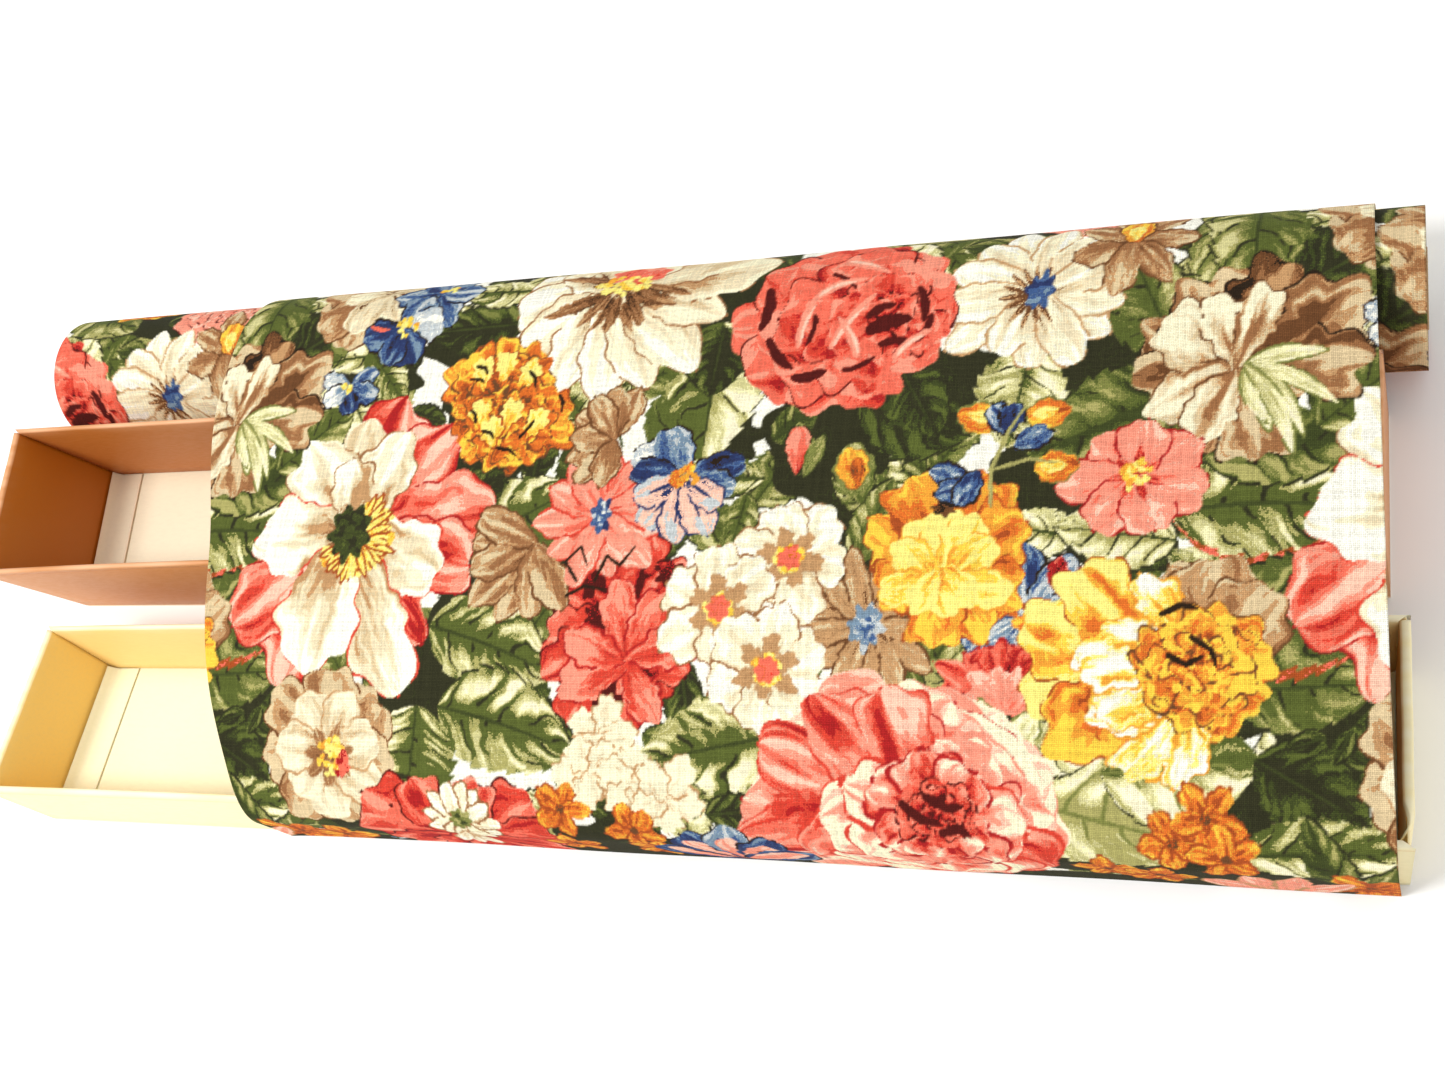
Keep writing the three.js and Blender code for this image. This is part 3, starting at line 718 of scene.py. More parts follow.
    # Blue and pink fan at the front.
    for a, ramp, s in ((-150, "navy", 1), (-118, "navy", 2), (-86, "blue", 3), (-55, "navy", 4),
                       (-28, "navy", 5)):
        petal(c, 64, 246, a, 36, 19, ramp, s + 130, light=0.6, blunt=0.4, broad=1.6, outline="navy")
        petal(c, 64, 246, a, 31, 12, ("coral", "salmon", "blush"), s + 140, light=0.7, blunt=0.4, broad=1.6)
    for a in (-140, -110, -80, -50):
        petal(c, 262, 256, a, 34, 12, ("tan", "salmon", "blush"), a + 150, light=0.6, outline="tan")


def paintBehind(c):
    # Brown and grey petals at the top left, and blossoms out of sight behind the roll.
    ring(c, -122, -18, 6, 32, 20, "brown", 150, phase=110, spread=180, light=0.7, outline="umber", blunt=0.42)
    ring(c, -116, -22, 6, 24, 16, ("umber", "beige", "shell", "cream"), 151, phase=0, light=0.6, blunt=0.42)
    ring(c, -88, -18, 6, 22, 15, "blue", 152, phase=0, light=0.5, outline="navy", streak=1.0)
    dots(c, -86, -22, 5, 4, 14, 1.4, "yellow", 153)
    for x, y, n, ramp in ((-10, -70, 154, "peony"), (70, -78, 155, "cream"), (150, -66, 156, "marigold"),
                          (-90, -78, 157, "cabbage"), (-165, -70, 158, "yellow"), (200, -44, 159, "pink"),
                          (232, -86, 160, "beige")):
        rose(c, x, y, 28, 24, (x + 3, y + 2), ramp, n, gapShare=0.4)
    for x, y, n in ((30, -56, 161), (110, -94, 162), (-50, -100, 163), (-130, -100, 164), (180, -98, 165)):
        ring(c, x, y, 8, 18, 11, ("beige", "cream", "white"), n, outline="tan", light=0.7)
        dots(c, x, y, 4, 4, 14, 1.2, "yellow", n)


def paintCloth():
    canvas = Canvas(printShape)
    paintUndergrowth(canvas)
    paintGround(canvas)
    paintLeaves(canvas)
    paintBehind(canvas)
    paintSmallLeaves(canvas)
    paintDaisySix(canvas)
    paintAnemone(canvas)
    paintBrownRose(canvas)
    paintMarigold(canvas)
    paintDaisyEight(canvas)
    paintPeony(canvas)
    paintMiddle(canvas)
    paintFront(canvas)
    paintSmallFlowers(canvas)
    return canvas


def sampleCanvas(canvas, across, along):
    # Colour, second colour and cover of the print at these places, in millimetres of cloth.
    shape = canvas.shape
    x = np.mod(across / shape["step"] - 0.5, canvas.wide)
    y = np.mod((along - shape["low"]) / shape["step"] - 0.5, canvas.tall)
    x0, y0 = np.floor(x).astype(int), np.floor(y).astype(int)
    fx, fy = (x - x0).astype(np.float32), (y - y0).astype(np.float32)
    x0, y0 = x0 % canvas.wide, y0 % canvas.tall
    x1, y1 = (x0 + 1) % canvas.wide, (y0 + 1) % canvas.tall

    def read(layer):
        wx, wy = (fx[..., None], fy[..., None]) if layer.ndim == 3 else (fx, fy)
        top = layer[y0, x0] * (1 - wx) + layer[y0, x1] * wx
        low = layer[y1, x0] * (1 - wx) + layer[y1, x1] * wx
        return top * (1 - wy) + low * wy

    return read(canvas.near), read(canvas.far), read(canvas.cover)


class Socket:
    # A node output that ordinary arithmetic can be written with.
    def __init__(self, graph, out):
        self.graph, self.out = graph, out

    def maths(self, kind, *others, clamp=False):
        return self.graph.node("ShaderNodeMath", dict(operation=kind, use_clamp=clamp),
                               {i: v for i, v in enumerate((self, *others))})

    def swapped(self, kind, o):
        # The same sum with the other value first.
        return self.graph.node("ShaderNodeMath", dict(operation=kind), {0: o, 1: self})

    def __add__(self, o):
        return self.maths("ADD", o)

    __radd__ = __add__

    def __mul__(self, o):
        return self.maths("MULTIPLY", o)

    __rmul__ = __mul__

    def __sub__(self, o):
        return self.maths("SUBTRACT", o)

    def __rsub__(self, o):
        return self.swapped("SUBTRACT", o)

    def __truediv__(self, o):
        return self.maths("DIVIDE", o)

    def __rtruediv__(self, o):
        return self.swapped("DIVIDE", o)

    def __pow__(self, o):
        return self.maths("POWER", o)

    def __rpow__(self, o):
        return self.swapped("POWER", o)

    def whole(self):
        return self.maths("FLOOR")

    def part(self):
        return self.maths("FRACT")

    def above(self, o):
        return self.maths("GREATER_THAN", o)

    def held(self):
        return self.graph.node("ShaderNodeClamp", {}, {"Value": self})

    def fit(self, a, b, c=0.0, d=1.0, kind="LINEAR"):
        return self.graph.node("ShaderNodeMapRange", dict(interpolation_type=kind),
                               {"Value": self, "From Min": a, "From Max": b, "To Min": c, "To Max": d})


class Graph:
    # One material's nodes. node() makes any node: its type, its settings, then its inputs.
    def __init__(self, name):
        self.material = bpy.data.materials.new(name)
        self.material.use_nodes = True
        self.tree = self.material.node_tree
        self.tree.nodes.clear()

    def node(self, kind, settings=None, inputs=None, out=0):
        made = self.tree.nodes.new(kind)
        for key, value in (settings or {}).items():
            setattr(made, key, value)
        for key, value in (inputs or {}).items():
            socket = made.inputs[key]
            if isinstance(value, Socket):
                self.tree.links.new(value.out, socket)
            else:
                socket.default_value = value
        return Socket(self, made.outputs[out]) if made.outputs else None

    def attribute(self, name, out="Fac"):
        return self.node("ShaderNodeAttribute", dict(attribute_name=name), out=out)

    def blend(self, factor, a, b, kind="MIX"):
        made = self.tree.nodes.new("ShaderNodeMix")
        made.data_type, made.blend_type, made.clamp_factor = "RGBA", kind, True
        for index, value in ((0, factor), (6, a), (7, b)):
            if isinstance(value, Socket):
                self.tree.links.new(value.out, made.inputs[index])
            else:
                made.inputs[index].default_value = value
        return Socket(self, made.outputs[2])

    def noise(self, vector, scale, detail=2.0, rough=0.5, out=0):
        return self.node("ShaderNodeTexNoise", {}, {"Vector": vector, "Scale": scale, "Detail": detail,
                                                    "Roughness": rough}, out)

    def split(self, vector):
        made = self.tree.nodes.new("ShaderNodeSeparateXYZ")
        self.tree.links.new(vector.out, made.inputs[0])
        return [Socket(self, o) for o in made.outputs]

    def join(self, x, y, z):
        return self.node("ShaderNodeCombineXYZ", {}, {0: x, 1: y, 2: z})

    def bump(self, height, strength, distance):
        return self.node("ShaderNodeBump", {}, {"Height": height, "Strength": strength,
                                                "Distance": distance})

    def finish(self, **inputs):
        shader = self.node("ShaderNodeBsdfPrincipled", {}, {k.replace("_", " "): v for k,
                                                            v in inputs.items()})
        self.node("ShaderNodeOutputMaterial", {}, {"Surface": shader})
        return self.material


def linear(r, g, b):
    # An everyday 0-255 colour as the linear one that shaders take.
    def one(c):
        c = c / 255
        return c / 12.92 if c <= 0.04045 else ((c + 0.055) / 1.055) ** 2.4
    return (one(r), one(g), one(b), 1.0)


def makeMesh(name, points, quads, polygons=(), smooth=True):
    points = np.asarray(points, np.float32)
    quads = np.asarray(quads, np.int32).reshape(-1, 4)
    mesh = bpy.data.meshes.new(name)
    mesh.vertices.add(len(points))
    mesh.vertices.foreach_set("co", points.ravel())
    loops = [quads.ravel()] + [np.asarray(p, np.int32) for p in polygons]
    sizes = np.concatenate([np.full(len(quads), 4), [len(p) for p in polygons]]).astype(np.int32)
    loops = np.concatenate(loops)
    mesh.loops.add(len(loops))
    mesh.loops.foreach_set("vertex_index", loops)
    mesh.polygons.add(len(sizes))
    mesh.polygons.foreach_set("loop_start", np.concatenate([[0], np.cumsum(sizes)[:-1]]).astype(np.int32))
    mesh.polygons.foreach_set("use_smooth", np.full(len(sizes), smooth))
    mesh.update(calc_edges=True)
    mesh.validate()
    made = bpy.data.objects.new(name, mesh)
    bpy.context.scene.collection.objects.link(made)
    return made


def gridQuads(rows, columns, first=0, closed=False, flip=False):
    r = np.arange(rows - 1)[:, None]
    c = np.arange(columns if closed else columns - 1)[None, :]
    n = (c + 1) % columns
    quads = np.stack([r * columns + c, r * columns + n, (r + 1) * columns + n, (r + 1) * columns + c], -1)
    quads = quads.reshape(-1, 4) + first
    return quads[:, ::-1] if flip else quads


def setLayer(thing, name, kind, values):
    layer = thing.data.attributes.new(name, kind, "POINT")
    field = {"FLOAT_COLOR": "color", "FLOAT_VECTOR": "vector", "FLOAT": "value"}[kind]
    layer.data.foreach_set(field, np.ascontiguousarray(values, np.float32).ravel())


def layPrint(thing, canvas, across, along, fade=None):
    # Writes the print's two inks, their cover and the cloth's own coordinates on the points.
    near, far, cover = sampleCanvas(canvas, across, along)
    if fade is not None:
        pale = np.array([0.86, 0.82, 0.72])
        near, far = (c * (1 - fade[:, None]) + pale * fade[:, None] for c in (near, far))
    near, far = (np.where(c <= 0.04045, c / 12.92, ((c + 0.055) / 1.055) ** 2.4) for c in (near, far))
    opaque = np.ones((len(cover), 1))
    setLayer(thing, "inkNear", "FLOAT_COLOR", np.hstack([near, opaque]))
    setLayer(thing, "inkFar", "FLOAT_COLOR", np.hstack([far, opaque]))
    setLayer(thing, "inkCover", "FLOAT", cover)
    setLayer(thing, "clothPlace", "FLOAT_VECTOR", np.stack([across, along, np.zeros_like(across)], -1) * mm)


def ride(thing, body, material, slot, *nodes):
    thing.data.materials.clear()
    thing.data.materials.append(material)
    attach(thing, body)
    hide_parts(*nodes)
    return thing


clothLook = dict(thread=0.62 * mm, slub=0.2, contrast=1.05, depth=0.18 * mm, roughness=0.9, gloss=0.12)


def clothMaterial():
    g = Graph("printed_cloth")
    place = g.attribute("clothPlace", "Vector")
    across, along, _ = g.split(place)
    wobble = g.noise(place, 900.0, 2.0)
    drift = g.noise(place, 90.0, 2.0)
    warp = across / clothLook["thread"] + (wobble - 0.5) * 0.5 + (drift - 0.5) * 2.2
    weft = along / clothLook["thread"] + (wobble - 0.5) * 0.5 + (drift - 0.5) * 1.7
    cell = g.join(warp.whole(), weft.whole(), 0.0)
    spot = g.node("ShaderNodeTexWhiteNoise", dict(noise_dimensions="2D"), {"Vector": cell})
    warpRun = g.node("ShaderNodeTexWhiteNoise", dict(noise_dimensions="1D"), {"W": warp.whole()})
    weftRun = g.node("ShaderNodeTexWhiteNoise", dict(noise_dimensions="1D"), {"W": weft.whole()})
    over = ((warp.whole() + weft.whole()) * 0.5).part() * 2.0
    roundWarp = 1.0 - (warp.part() * 2.0 - 1.0) ** 2.0
    roundWeft = 1.0 - (weft.part() * 2.0 - 1.0) ** 2.0
    height = roundWarp * over + roundWeft * (1.0 - over)
    stipple = (spot * 0.62 + g.noise(place, 1500.0, 1.0) * 0.38)
    cover = g.attribute("inkCover")
    pick = (cover - stipple).fit(-0.06, 0.06)
    ink = g.blend(pick, g.attribute("inkNear", "Color"), g.attribute("inkFar", "Color"))
    # Painted shade in the weave: the gaps between threads are darkened and the crowns lightened from the
    # thread heights; the slubs and spots are the yarn's own variation.
    tone = (height * 0.5 + (warpRun + weftRun) * clothLook["slub"] + spot * 0.22).fit(
        0.1, 1.0, 1.0 - clothLook["contrast"] * 0.5, 1.0 + clothLook["contrast"] * 0.16)
    shade = g.join(tone, tone, tone)
    colour = g.blend(1.0, ink, shade, "MULTIPLY")
    relief = g.bump(height, 0.7, clothLook["depth"])
    return g.finish(Base_Color=colour, Roughness=clothLook["roughness"], Normal=relief,
                    Specular_IOR_Level=clothLook["gloss"])


rollLow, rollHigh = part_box("wound_cloth")
rollRadius = (rollHigh[2] - rollLow[2]) / 2
rollY, rollZ = (rollLow[1] + rollHigh[1]) / 2, (rollLow[2] + rollHigh[2]) / 2
sheetLow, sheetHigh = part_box("free_length")

sheetShape = dict(thickness=0.55 * mm, clearance=1.1 * mm, tail=-20.0, acrossStep=0.62 * mm,
                  alongStep=0.6 * mm, under=4, ripple=0.7 * mm,
                  leftCut=((122, -183), (65, -193), (-16, -178), (-75, -167), (-122, -152)),
                  rightCut=((122, 293.8), (-122, 298.9)))


def bezier(points, count):
    t = np.linspace(0, 1, count)[:, None]
    a, b, c, d = (np.array(p, float) for p in points)
    return (1 - t) ** 3 * a + 3 * (1 - t) ** 2 * t * b + 3 * (1 - t) * t * t * c + t ** 3 * d


def evenly(line, step):
    # The same line with points one step apart, and each point's distance along it.
    run = np.concatenate([[0], np.cumsum(np.linalg.norm(np.diff(line, axis=0), axis=1))])
    count = int(run[-1] / step) // 4 * 4 + 1
    at = np.linspace(0, run[-1], count)
    return np.stack([np.interp(at, run, line[:, i]) for i in range(line.shape[1])], -1), at


def smoothThrough(points, at):
    # A smooth curve through [y, x] points: x at each y.
    p = np.array(sorted(points), float)
    slope = np.gradient(p[:, 1], p[:, 0])
    i = np.clip(np.searchsorted(p[:, 0], at) - 1, 0, len(p) - 2)
    h = p[i + 1, 0] - p[i, 0]
    t = np.clip((at - p[i, 0]) / h, 0, 1)
    return ((2 * t**3 - 3 * t**2 + 1) * p[i, 1] + (t**3 - 2 * t**2 + t) * h * slope[i]
            + (3 * t**2 - 2 * t**3) * p[i + 1, 1] + (t**3 - t**2) * h * slope[i + 1])


def sheetLine():
    # The sheet's middle line in the YZ plane, from its tail behind the roll to the front hem.
    radius = rollRadius + sheetShape["clearance"]
    turn = np.radians(np.linspace(sheetShape["tail"], 90, 160))
    over = np.stack([rollY + radius * np.cos(turn), rollZ + radius * np.sin(turn)], -1)
    rimLow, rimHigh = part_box("base_tray_front_wall")
    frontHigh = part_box("lid_tray_front_wall")[1]
    rim = (rimLow[1], rimHigh[2] + 0.8 * mm)
    lip = (frontHigh[1] + 4.5 * mm, frontHigh[2] + 6.2 * mm)
    hem = sheetLow[1] + sheetShape["thickness"] / 2 + 0.15 * mm
    slope = bezier([rim, (rim[0] - 0.030, rim[1]), (lip[0] + 0.024, lip[1] + 7.8 * mm), lip], 90)
    curl = bezier([lip, (lip[0] - 0.010, lip[1] - 3.2 * mm), (hem, lip[1] - 8.2 * mm),
                   (hem, lip[1] - 18.2 * mm)], 70)
    line = np.concatenate([over, [(0.054, rollZ + radius)], slope, curl[1:], [(hem, 1.1 * mm)]])
    top = radius * math.radians(90 - sheetShape["tail"])
    even, run = evenly(line, sheetShape["alongStep"])
    return even, run - top


def buildSheet(canvas, material):
    line, run = sheetLine()
    ahead = np.gradient(line, axis=0)
    ahead /= np.linalg.norm(ahead, axis=1)[:, None]
    outward = np.stack([ahead[:, 1], -ahead[:, 0]], -1)
    outward *= np.sign(outward[len(line) // 2, 1])
    left = smoothThrough(sheetShape["leftCut"], line[:, 0] / mm) * mm
    right = smoothThrough(sheetShape["rightCut"], line[:, 0] / mm) * mm
    columns = int((sheetHigh[0] - sheetLow[0]) / sheetShape["acrossStep"]) // 4 * 4 + 1
    t = np.linspace(0, 1, columns)[None, :]
    x = left[:, None] * (1 - t) + right[:, None] * t
    s = run[:, None] + 0 * x
    # Slow ripples, and a little lift along the free cut edge at the left.
    lift = (np.sin(x * 21 + 1.1) * np.sin(s * 34 + 0.6) + 0.6 * np.sin(x * 47 - s * 29 + 2.2)
            + 0.4 * np.sin(x * 13 + s * 71))
    lift = (lift + 1.4) * 0.36 * sheetShape["ripple"]
    free = np.clip((run - 0.02) / 0.06, 0, 1)[:, None]
    edge = np.exp(-(x - left[:, None]) / 0.012) * free * (1.1 + 0.7 * np.sin(s * 47 + 0.7)) * mm
    lift = lift + edge
    shapes = []
    for side in (1, -1):
        off = (lift + side * sheetShape["thickness"] / 2)[..., None] * outward[:, None, :]
        shapes.append(np.concatenate([x[..., None], line[:, None, :] + off], -1))
    upper, lower = shapes
    k = sheetShape["under"]
    lower = lower[::k, ::k]
    rows, lowRows, lowColumns = len(line), lower.shape[0], lower.shape[1]
    points = np.concatenate([upper.reshape(-1, 3), lower.reshape(-1, 3)])
    first = rows * columns
    quads = np.concatenate([gridQuads(rows, columns, flip=True), gridQuads(lowRows, lowColumns, first)])
    sides = []
    up = lambda r, c: r * columns + c
    low = lambda r, c: first + r * lowColumns + c
    for c in range(lowColumns - 1):
        near = [up(0, c * k + i) for i in range(k + 1)]
        sides.append(near + [low(0, c + 1), low(0, c)])
        far = [up(rows - 1, c * k + i) for i in range(k + 1)]
        sides.append(far[::-1] + [low(lowRows - 1, c), low(lowRows - 1, c + 1)])
    for r in range(lowRows - 1):
        near = [up(r * k + i, 0) for i in range(k + 1)]
        sides.append(near[::-1] + [low(r, 0), low(r + 1, 0)])
        far = [up(r * k + i, columns - 1) for i in range(k + 1)]
        sides.append(far + [low(r + 1, lowColumns - 1), low(r, lowColumns - 1)])
    made = makeMesh("draped_cloth", points, quads, sides)
    across = np.concatenate([x.ravel(), x[::k, ::k].ravel()]) / mm
    along = np.concatenate([s.ravel(), s[::k, ::k].ravel()]) / mm
    fade = np.concatenate([np.zeros(first), np.full(lowRows * lowColumns, 0.72)])
    layPrint(made, canvas, across, along, fade)
    ride(made, "free_length", material, "printed_cloth", "free_length")
    width = float((right - left).mean())
    length = float(run[-1] - run[0])
    widest = float((right - left).max())
    return made


rollShape = dict(layer=0.52 * mm, around=232, acrossStep=0.85 * mm, cutAngle=104.0, faceRings=58,
                 printShift=(20.0, 18.0), edgeLift=0.35 * mm)


def buildRoll(canvas, material):
    # The outer turn is one spiral step; the end faces carry the edges of every turn below it.
    x0, x1 = rollLow[0] + 0.4 * mm, rollHigh[0] - 0.4 * mm
    inner = (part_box("core_tube")[1][2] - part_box("core_tube")[0][2]) / 2 + 0.15 * mm
    around = rollShape["around"]
    cut = math.radians(rollShape["cutAngle"])
    # Angle runs from the top to the front; the outer turn ends at the cut angle.
    turn = np.linspace(0, 2 * math.pi, around, endpoint=False)
    past = np.mod(turn - cut, 2 * math.pi) / (2 * math.pi)
    ply = rollShape["layer"]
    radius = rollRadius - 0.1 * mm - ply * (1 - past)
    radius += rollShape["edgeLift"] * np.exp(-(1 - past) * 2 * math.pi / 0.10)
    radius = np.where(radius > rollRadius + 0.2 * mm, rollRadius + 0.2 * mm, radius)
    columns = int((x1 - x0) / rollShape["acrossStep"]) + 1
    xs = np.linspace(x0, x1, columns)
    flex = 0.12 * mm * (np.sin(xs * 31)[:, None] * np.sin(2 * turn + 1)[None] + np.sin(xs * 83 + 2)[:, None]
                        * np.sin(3 * turn)[None]) - 0.15 * mm
    rr = radius[None] + flex
    shell = np.stack([np.repeat(xs[:, None], around, 1), rollY - rr * np.sin(turn),
                      rollZ + rr * np.cos(turn)], -1)
    points = [shell.reshape(-1, 3)]
    quads = [gridQuads(columns, around, closed=True)]
    count = columns * around
    rings = rollShape["faceRings"]
    rim = np.linspace(0, 1, rings + 1)[1:, None]
    ends = []
    spirals = []
    rng = np.random.default_rng(5)
    slip = np.cumsum(rng.normal(0, 0.05, 80)) * mm
    for end, column in ((-1, 0), (1, columns - 1)):
        outer = rr[column][None]
        r = outer * (1 - rim) + inner * rim
        depth = (rollRadius - r) / ply + past[None]
        layer, inside = np.floor(depth).astype(int) % 80, depth % 1
        sink = 0.30 * mm * (np.abs(inside * 2 - 1) ** 3) + np.abs(slip[layer]) * 0.8
        sink = sink * np.clip(rim * 12, 0, 1)
        x = xs[column] - end * sink
        face = np.stack([x, rollY - r * np.sin(turn)[None], rollZ + r * np.cos(turn)[None]], -1)
        points.append(face.reshape(-1, 3))
        spirals.append((depth * 2 * math.pi * r / mm).ravel())
        edge = np.arange(around) + column * around
        nextEdge = np.roll(edge, -1)
        ring = np.arange(around) + count
        nextRing = np.roll(ring, -1)
        joinQuads = np.stack([edge, nextEdge, nextRing, ring], -1)
        faceQuads = gridQuads(rings, around, count, closed=True)
        both = np.concatenate([joinQuads, faceQuads])
        quads.append(both[:, ::-1] if end < 0 else both)
        ends.append(count + (rings - 1) * around)
        count += rings * around
    a, b = (np.arange(around) + e for e in ends)
    quads.append(np.stack([a, np.roll(a, -1), np.roll(b, -1), b], -1)[:, ::-1])
    made = makeMesh("wound_cloth_roll", np.concatenate(points), np.concatenate(quads))
    wrap = np.where(turn > math.pi + cut, turn - 2 * math.pi, turn)
    wrap = np.where(wrap > cut, wrap - 2 * math.pi, wrap)
    shift = rollShape["printShift"]
    acrossShell = np.repeat(xs[:, None], around, 1).ravel() / mm - shift[0]
    alongShell = np.tile(wrap * rollRadius / mm - shift[1], columns)
    # The end faces show the print edge on, so they take its colours along the spiral.
    rest = count - columns * around
    across = np.concatenate([acrossShell, np.zeros(rest)])
    along = np.concatenate([alongShell, *spirals])
    fade = np.concatenate([np.zeros(columns * around), np.full(rest, 0.82)])
    layPrint(made, canvas, across, along, fade)
    ride(made, "roll", material, "printed_cloth", "wound_cloth")
    return made


tubeShape = dict(around=72, along=180, strip=62 * mm, groove=0.18 * mm)


def tubeMaterial():
    g = Graph("tube_card")
    place = g.node("ShaderNodeTexCoord", {}, {}, out="Object")
    x, y, z = g.split(place)
    fibre = g.noise(g.join(x * 0.3, y, z), 900.0, 4.0)
    blotch = g.noise(place, 40.0, 3.0)
    ply = (g.noise(g.join(x * 0.05, y, z), 2200.0, 1.0)).fit(0.3, 0.7)
    base = g.blend(blotch.fit(0.3, 0.7), linear(176, 142, 98), linear(150, 116, 76))
    base = g.blend(fibre.fit(0.35, 0.7, 0.0, 0.5), base, linear(205, 178, 135))
    base = g.blend(ply * 0.25, base, linear(120, 90, 58))
    return g.finish(Base_Color=base, Roughness=fibre.fit(0.3, 0.7, 0.75, 0.95),
                    Normal=g.bump(fibre, 0.4, 0.1 * mm))


def buildTube(material):
    low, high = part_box("core_tube")
    outer = (high[2] - low[2]) / 2 - 0.1 * mm
    bore = outer - 1.8 * mm
    y, z = (low[1] + high[1]) / 2, (low[2] + high[2]) / 2
    around, along = tubeShape["around"], tubeShape["along"]
    turn = np.linspace(0, 2 * math.pi, around, endpoint=False)
    soft = 0.35 * mm
    profile = [(bore, x, True) for x in np.linspace(low[0] + soft, high[0] - soft, along)]
    profile += [(bore + soft * 0.4, high[0] - soft * 0.3, False), (bore + soft, high[0], False),
                (outer - soft, high[0], False), (outer - soft * 0.3, high[0] - soft * 0.4, False)]
    profile += [(outer, x, False) for x in np.linspace(high[0] - soft, low[0] + soft, 40)]
    profile += [(outer - soft * 0.3, low[0] + soft * 0.4, False), (outer - soft, low[0], False),
                (bore + soft, low[0], False), (bore + soft * 0.4, low[0] + soft * 0.3, False)]
    rows = []
    for radius, x, seam in profile:
        r = np.full(around, radius)
        if seam:
            off = np.mod(turn / (2 * math.pi) * tubeShape["strip"] + x, tubeShape["strip"])
            r = r + tubeShape["groove"] * np.exp(-((off - 3 * mm) / (0.9 * mm)) ** 2)
        rows.append(np.stack([np.full(around, x), y - r * np.sin(turn), z + r * np.cos(turn)], -1))
    points = np.concatenate(rows)
    quads = gridQuads(len(rows), around, closed=True)
    last = (len(rows) - 1) * around
    a, b = np.arange(around) + last, np.arange(around)
    quads = np.concatenate([quads, np.stack([a, np.roll(a, -1), np.roll(b, -1), b], -1)])
    made = makeMesh("card_core", points, quads[:, ::-1])
    return ride(made, "roll", material, "tube_card", "core_tube")


# Card colours. inside is painted shade and warm bounce light on the walls' inner faces; the lid's deeper
# orange for its right end is painted shade as well. edge is a painted highlight along the rolled rim, also
# used to lighten the panels' edges.
cardLook = dict(
    base=dict(outside=(208, 140, 82), inside=(188, 104, 8), floor=(255, 246, 216), edge=(252, 206, 168),
              seam=(196, 120, 84), tab=(214, 150, 92)),
    lid=dict(outside=(255, 240, 186), inside=(255, 212, 114), floor=(255, 249, 214), edge=(255, 250, 228),
             seam=(240, 180, 120), tab=(252, 222, 140), sprung=(240, 158, 52)),
)


def cardMaterial(name, colour, look, inside=None):
    g = Graph(name)
    place = g.node("ShaderNodeTexCoord", {}, {}, out="Object")
    x, y, z = g.split(place)
    fibre = g.noise(g.join(x * 0.35, y, z), 700.0, 5.0, 0.6)
    cloud = g.noise(place, 14.0, 3.0)
    base = g.blend(cloud.fit(0.3, 0.7, 0.0, 0.35), linear(*colour), linear(*[c * 0.94 for c in colour]))
    # Inner faces blend toward the inside colour: painted shade and warm bounce light, broken up by the cloud
    # noise.
    if inside:
        deep = (cloud - 0.5) * 0.5 + g.attribute("cardInsideShade")
        base = g.blend(deep.held() * g.attribute("cardInsideShade").above(0.05), base, linear(*inside))
    base = g.blend(fibre.fit(0.45, 0.75, 0.0, 0.12), base, linear(*[c * 0.8 for c in colour]))
    base = g.blend(g.attribute("cardSeam") * 0.8, base, linear(*look["seam"]))
    # Painted highlight along the rim's fold, and lighter panel edges, in the edge colour.
    base = g.blend(g.attribute("cardEdge") * 0.7, base, linear(*look["edge"]))
    return g.finish(Base_Color=base, Roughness=fibre.fit(0.3, 0.7, 0.42, 0.58),
                    Normal=g.bump(fibre * 0.6 + cloud * 0.4, 0.25, 0.08 * mm), IOR=1.45)


def cornersOf(node):
    # The eight corners of a packed panel as [x end][y side][z level].
    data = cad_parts[node].data
    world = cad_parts[node].matrix_world
    seen = sorted({tuple(round(c, 6) for c in world @ v.co) for v in data.vertices}, key=lambda p: p[2])
    levels = []
    for four in (seen[:4], seen[4:]):
        spread = [max(p[i] for p in four) - min(p[i] for p in four) for i in (0, 1)]
        far, near = (0, 1) if spread[0] > spread[1] else (1, 0)
        four = sorted(four, key=lambda p: p[far])
        pairs = [sorted(four[:2], key=lambda p: p[near]), sorted(four[2:], key=lambda p: p[near])]
        grid = np.array(pairs)
        levels.append(grid if far == 0 else grid.transpose(1, 0, 2))
    return np.stack(levels, 2)


def insideCorners(corners, u, v, w):
    # The place at fractions u, v, w of a panel along x, y and z; fractions past its faces are allowed.
    u, v, w = (np.asarray(f, float)[..., None] for f in (u, v, w))
    out = 0
    for i, a in ((0, 1 - u), (1, u)):
        for j, b in ((0, 1 - v), (1, v)):
            for k, c in ((0, 1 - w), (1, w)):
                out = out + a * b * c * corners[i, j, k]
    return out


wallShape = dict(outer=1.2, lining=0.8, longGap=0.35, endGap=1.5, stations=72, bow=0.9, dent=0.25, seam=2.6)
# How each tray has settled in use, in millimetres: the right end's shift, how far its rim leans out, how far
# the front wall stands forward, and what its left corners do at the rim and at the base, as (x, y).
settled = dict(
    base_tray=dict(shift=-1.0, rim=0.0, front=0.0, backRim=(-2.6, 0.0), frontRim=(0.0, -3.2),
                   frontBase=(4.0, 0.0)),
    lid_tray=dict(shift=0.4, rim=2.6, front=-3.4, backRim=(1.0, -1.0), frontRim=(0.0, -0.6),
                  frontBase=(1.5, 0.0)))


